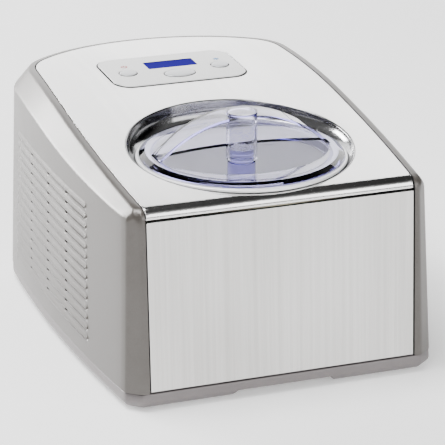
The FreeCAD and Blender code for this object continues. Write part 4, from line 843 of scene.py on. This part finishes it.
def well_rim(angles):
    """Radius and height where the well's rolled edge meets the sloping top."""
    radius, roll = np.full(len(angles), WELL_RADIUS), WELL_FILLET + WELL_ROLL
    for _ in range(20):
        height = top_height(AXIS_Y + radius * np.sin(angles))
        below = np.clip(WELL_FLOOR + WELL_FILLET + WELL_ROLL - height, 0, roll)
        radius = WELL_RADIUS - WELL_FILLET + np.sqrt(roll ** 2 - below ** 2)
    return radius, height


RIM_ANGLES = np.linspace(-math.pi, math.pi, 241)
RIM_RADII = well_rim(RIM_ANGLES)[0]


def sheet_ring(inset, front):
    """Outline of the top sheet, set in from its edge, closed across the front in the unrolled plane."""
    sides = np.concatenate([np.linspace(-0.13, 0.0, 14)[:-1], np.linspace(0, 1, 70)])
    right = SHEET.points(sides, 24, 40)
    right = right - inset * gradient(SHEET.outside, right)
    right = right[right[:, 1] > front + 0.5]
    first = np.array([[right[0, 0], front]])
    across = np.linspace(-1, 1, 60)[1:-1, None] * np.array([[right[0, 0], 0]]) + np.array([[0, front]])
    left = right[::-1][1:] * np.array([-1, 1])
    return np.concatenate([first, right, left, first * np.array([-1, 1]), across])


def fold_places():
    """Where the top sheet starts to bend, in its own length, and how far its front reaches down."""
    turn_z = float(top_height(front_edge(FOLD_LEVEL)[1])) - FOLD_RADIUS
    start_y = front_edge(turn_z)[1] + SHEET_SET_BACK + FOLD_RADIUS
    slope = math.atan(TOP_SLOPE)
    turn = math.pi / 2 - slope - math.atan(FRONT_LEAN / (LOFT - SEAM))
    return start_y, slope, turn


def unrolled_top(plan):
    """Places a flat sheet on the sloping top and bends its front down; gives points and normals."""
    start_y, slope, turn = fold_places()
    centre_y = start_y + FOLD_RADIUS * math.sin(slope)
    centre_z = float(top_height(start_y)) - FOLD_RADIUS * math.cos(slope)
    x, s = plan.T
    bent = s < start_y
    angle = np.clip((start_y - s) / FOLD_RADIUS, 0, turn) + slope
    past = np.clip(start_y - s - FOLD_RADIUS * turn, 0, None)
    y = np.where(bent, centre_y - FOLD_RADIUS * np.sin(angle) - past * math.cos(slope + turn), s)
    z = centre_z + FOLD_RADIUS * np.cos(angle) - past * math.sin(slope + turn)
    z = np.where(bent, z, top_height(s))
    tilt = np.where(s > 0, TOP_SLOPE - s / TOP_CROWN, TOP_SLOPE)
    normal = np.stack([0 * s, np.where(bent, -np.sin(angle), -tilt), np.where(bent, np.cos(angle), 1.0)], 1)
    return np.stack([x, y, z], 1), normal / np.linalg.norm(normal, axis=1)[:, None]


def top_sheet():
    """Sheet with its holes, cut flat, then bent over the front."""
    start_y, slope, turn = fold_places()
    drop = float(top_height(start_y)) - FOLD_RADIUS * (1 - math.cos(slope + turn)) - SHEET_LOW
    front = start_y - FOLD_RADIUS * turn - max(0.6, drop)
    outer = [sheet_ring(step, front + step) for step in EDGE_STEPS]
    turns, radii = RIM_ANGLES[:-1], RIM_RADII[:-1, None] + WELL_GAP
    spoke = np.stack([np.cos(turns), np.sin(turns)], 1)
    well = [(0, AXIS_Y) + (radii + step) * spoke for step in EDGE_STEPS]
    seat = [rounded_rectangle(*BEZEL, BEZEL_GAP + step) for step in EDGE_STEPS]
    fine = np.meshgrid(np.linspace(-119, 119, 60), np.arange(front + 1.0, start_y + 3, 0.8))
    plan, triangles = filled(outer, [well, seat], 6.0, np.stack([axis.ravel() for axis in fine], 1))
    points, normal = unrolled_top(plan)
    to_edge = -SHEET.outside(plan)
    at_front = plan[:, 1] < front + 1
    to_edge[at_front] = np.minimum(plan[at_front, 1] - front, to_edge[at_front])
    around = np.arctan2(plan[:, 1] - AXIS_Y, plan[:, 0])
    to_well = np.hypot(plan[:, 0], plan[:, 1] - AXIS_Y) - WELL_GAP - np.interp(around, RIM_ANGLES, RIM_RADII)
    to_seat = rectangle_distance(plan, *BEZEL) - BEZEL_GAP
    fall = edge_drop(np.minimum(np.minimum(to_edge, to_well), to_seat), SHEET_EDGE)
    return with_return(points - fall[:, None] * normal, triangles, -SHEET_RETURN * normal)


def polished_well():
    """Deep-drawn ring: rolled edge at the sheet, upright wall, wide fillet, floor down to the chilled cup."""
    radius, height = well_rim(RIM_ANGLES)
    middle_z, fillet_z = height - WELL_ROLL, WELL_FLOOR + WELL_FILLET
    first = np.arcsin(np.clip((fillet_z - middle_z) / (WELL_FILLET + WELL_ROLL), 0, 1))
    rows = []
    for share in np.linspace(0, 1, 6):
        turn = math.pi / 2 + share * (first - math.pi / 2)
        rows.append((radius - WELL_ROLL * np.cos(turn), middle_z + WELL_ROLL * np.sin(turn)))
    roll_radius, roll_z = rows[-1]
    for share in (0.25, 0.5, 0.75):
        rows.append((roll_radius, roll_z + share * np.minimum(fillet_z - middle_z, 0)))
    for share in np.linspace(0, 1, 24):
        turn = first + share * (math.pi / 2 - first)
        rows.append((WELL_RADIUS - WELL_FILLET * (1 - np.cos(turn)), fillet_z - WELL_FILLET * np.sin(turn)))
    for wider, drop in ((1.4, 0.0), (0.5, 0.2), (0.0, 0.7), (0.0, 1.4)):
        rows.append((np.full_like(radius, THROAT_RADIUS + wider), np.full_like(radius, WELL_FLOOR - drop)))
    points = [np.stack([r * np.cos(RIM_ANGLES), AXIS_Y + r * np.sin(RIM_ANGLES), z], 1) for r, z in rows]
    return np.concatenate(points), [face[::-1] for face in grid_faces(len(rows), len(RIM_ANGLES))]


def front_sheet():
    """Flat front panel with rounded edges, leaning back with the housing."""
    outer = [rounded_rectangle(PANEL_MIDDLE, PANEL_SIZE, PANEL_CORNER, -step, 4) for step in EDGE_STEPS]
    plan, triangles = filled(outer, [], 8.0)
    x, z = plan.T
    fall = edge_drop(np.min(PANEL_SIZE - np.abs(plan - PANEL_MIDDLE), 1), SHEET_EDGE)
    points = np.stack([x, front_edge(z)[1] + SHEET_SET_BACK + fall, z], 1)
    return with_return(points, triangles, np.tile([0, SHEET_RETURN, 0], (len(plan), 1)))


def bezel_plate():
    """Bezel with holes for the keys and the display, and its two printed marks."""
    outer = [rounded_rectangle(*BEZEL, -step) for step in EDGE_STEPS]
    holes = [[oval(middle, half + step) for step in EDGE_STEPS[:3]] for middle, half in BUTTONS.values()]
    lcd = LCD_MIDDLE, LCD_SIZE + LCD_ROOM, LCD_CORNER
    holes.append([rounded_rectangle(*lcd, step, 4) for step in EDGE_STEPS[:3]])
    plan, triangles = filled(outer, holes, 4.0)
    fall = edge_drop(-rectangle_distance(plan, *BEZEL), SHEET_EDGE)
    for middle, half in BUTTONS.values():
        away = (np.hypot(*((plan - middle) / half).T) - 1) * half[1]
        fall = np.maximum(fall, edge_drop(away, BUTTON_EDGE))
    points = np.stack([*plan.T, top_height(plan[:, 1]) + BEZEL_PROUD - fall], 1)
    points, faces, which = with_return(points, triangles, np.tile([0, 0, -SHEET_RETURN], (len(points), 1)))
    for finish, mark in enumerate((POWER_MARK, CHILL_MARK), 2):
        bars = strokes(*mark, MARK_WIDTH)
        points, faces = joined((points, faces), bars)
        which += [finish] * len(bars[1])
    return points, faces, which


def strokes(centre, lines, width, lift=0.08):
    """Thin printed bars on the bezel; each line runs between two places round a centre."""
    points, faces = [], []
    for start, end in lines:
        start, end = np.array(centre) + start, np.array(centre) + end
        side = (end - start)[::-1] * np.array([-1, 1])
        side = width / 2 * side / np.linalg.norm(side)
        for corner in (start - side, end - side, end + side, start + side):
            points.append((*corner, float(top_height(corner[1])) + BEZEL_PROUD + lift))
        faces.append(tuple(range(len(points) - 4, len(points))))
    return np.array(points), faces


def button_cap(middle, half):
    """Oval key: slightly domed top, rounded edge and a short wall."""
    top = top_height(middle[1]) + BUTTON_PROUD + BUTTON_DOME
    profile = [(0.3, 0.32), (0.6, 0.2), (0.85, 0.03), (0.93, -0.08), (0.975, -0.25), (1.0, -0.6), (1.0, -3.5)]
    rings = []
    for share, height in profile:
        ring = oval(middle, share * (half - BUTTON_GAP))
        rings.append(np.column_stack([ring, top_height(ring[:, 1]) + BUTTON_PROUD + height]))
    count = len(rings[0])
    points = np.concatenate([[[*middle, top]], *rings])
    faces = [(0, 1 + k, 1 + (k + 1) % count) for k in range(count)]
    for first in range(1, len(points) - count, count):
        for k in range(count):
            a, b = first + k, first + (k + 1) % count
            faces.append((a, a + count, b + count, b))
    # the key's short wall below its rounded edge gets the painted shade black, so the gap round the key reads
    # dark
    return points, faces, [0] * (len(faces) - count) + [1] * count


def display_glass():
    outline = rounded_rectangle(LCD_MIDDLE, LCD_SIZE, LCD_CORNER, 0.0, 4)
    points = np.column_stack([outline, top_height(outline[:, 1]) + BEZEL_PROUD - LCD_SUNK])
    return points, [tuple(range(len(points)))]


# ---- pieces
BODY_OF = {node: body for body, nodes in frame["record"]["behaviour"]["bodies"].items() for node in nodes}
SLOT_OF = {entry["node"]: entry["material_slot"] for entry in frame["record"]["subparts"]}
# the front panel takes the darker copy of the brushed steel, which is painted shade
FINISH_OF = {**SLOT_OF, "front_panel": "front_steel_painted_shade"}
OTHER_FINISHES = ("painted_gap_shade", "mark_red", "mark_blue")


def stand_in(node, name, shape):
    """Makes the piece that is shown in place of a CAD node and moves with its body.

    A shape is its points, its faces and, for some, the finish of each face."""
    points, faces, *which = shape
    piece = mesh_object(name, points, faces, (FINISH_OF[node], *OTHER_FINISHES), *which)
    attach(piece, BODY_OF[node])
    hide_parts(node)


stand_in("outer_housing", "housing_skin", housing_shell())
stand_in("base_tray", "tray_shell", tray_skin())
stand_in("top_panel", "top_sheet", top_sheet())
stand_in("front_panel", "front_sheet", front_sheet())
stand_in("recess_ring", "polished_well", polished_well())
stand_in("control_bezel", "bezel_plate", bezel_plate())
for name, key in BUTTONS.items():
    stand_in(name, name + "_cap", button_cap(*key))
stand_in("display_window", "display_glass", display_glass())


# ---- stage, light and camera
FLOOR_REACH, FLOOR_GLOW = 6.0, 0.45
SKY_LEVEL, CEILING_LEVEL = 0.24, 0.03
# Each change of the world's light: the direction it turns to, and the cosines at which it starts and ends.
CEILING = ((0.0, 0.12, 1.0), 0.66, 0.76)
DARK_SIDE = ((0.97, 0.24, 0.0), 0.72, 0.90)
# Soft boxes: place, the point they face, width and height in metres, power in watts.
SOFT_BOXES = {
    "back_box": ((0.9, 2.6, 1.05), (0.1, 0, 0.2), (4.2, 1.9), 85),
    "bevel_box": ((-1.75, 2.3, 0.75), (-0.1, 0.1, 0.2), (1.3, 0.9), 150),
    "front_box": ((0.9, -2.3, 1.05), (0.1, -0.2, 0.1), (3.2, 1.2), 48),
    "left_box": ((-0.75, 0.05, 2.1), (0, -0.1, 0.15), (1.1, 1.3), 75),
    "fill_box": ((-0.8, -1.15, 1.9), (0, -0.1, 0.15), (0.8, 0.8), 18),
}
CAMERA_PLACE, CAMERA_LENS = Vector((-0.7171, -1.9924, 0.8824)), 199.6
HEADING, TILT, ROLL = math.radians(20.274), math.radians(20.721), math.radians(-0.314)


def lay_floor():
    moulded("floor_paint", (0.90, 0.90, 0.90), rough=0.85, grain=120.0, depth=0.0001, spread=0.01)
    glowing("floor_paint", (1.0, 1.0, 1.0), FLOOR_GLOW)
    mesh = bpy.data.meshes.new("floor")
    corners = [(FLOOR_REACH * x, FLOOR_REACH * y, 0) for x, y in ((-1, -1), (1, -1), (1, 1), (-1, 1))]
    mesh.from_pydata(corners, [], [(0, 1, 2, 3)])
    mesh.materials.append(MATERIALS["floor_paint"])
    floor = bpy.data.objects.new("floor", mesh)
    bpy.context.scene.collection.objects.link(floor)


def light_world():
    """A pale horizon, darker above and dark to the right, as in a studio with flags."""
    world = bpy.data.worlds.new("studio")
    world.use_nodes = True
    tree = world.node_tree
    background = tree.nodes["Background"].inputs
    background["Color"].default_value = (1.0, 1.0, 1.0, 1.0)
    direction = tree.nodes.new("ShaderNodeTexCoord").outputs["Generated"]
    product = tree.nodes.new("ShaderNodeMath")
    product.operation = "MULTIPLY"
    changes = ((CEILING, SKY_LEVEL, CEILING_LEVEL), (DARK_SIDE, 1.0, 0.0))
    for factor, ((toward, start, end), first, last) in zip(product.inputs, changes):
        dot = tree.nodes.new("ShaderNodeVectorMath")
        dot.operation = "DOT_PRODUCT"
        dot.inputs[1].default_value = toward
        tree.links.new(direction, dot.inputs[0])
        tree.links.new(map_range(tree, dot.outputs["Value"], start, end, first, last), factor)
    tree.links.new(product.outputs["Value"], background["Strength"])
    bpy.context.scene.world = world


def add_soft_box(name, place, aim, size, power):
    data = bpy.data.lights.new(name, "AREA")
    data.shape = "RECTANGLE"
    data.size, data.size_y = size
    data.energy = power
    lamp = bpy.data.objects.new(name, data)
    lamp.location = place
    lamp.rotation_euler = (Vector(aim) - Vector(place)).to_track_quat("-Z", "Y").to_euler()
    bpy.context.scene.collection.objects.link(lamp)


def place_camera():
    """Camera at its place, turned by its heading, tilt and slight roll."""
    data = bpy.data.cameras.new("camera")
    data.lens = CAMERA_LENS
    camera = bpy.data.objects.new("camera", data)
    turns = ((-HEADING, "Z"), (math.pi / 2 - TILT, "X"), (-ROLL, "Z"))
    camera.matrix_world = Matrix.Translation(CAMERA_PLACE)
    for angle, axis in turns:
        camera.matrix_world @= Matrix.Rotation(angle, 4, axis)
    bpy.context.scene.collection.objects.link(camera)
    bpy.context.scene.camera = camera


lay_floor()
light_world()
for name, settings in SOFT_BOXES.items():
    add_soft_box(name, *settings)
place_camera()
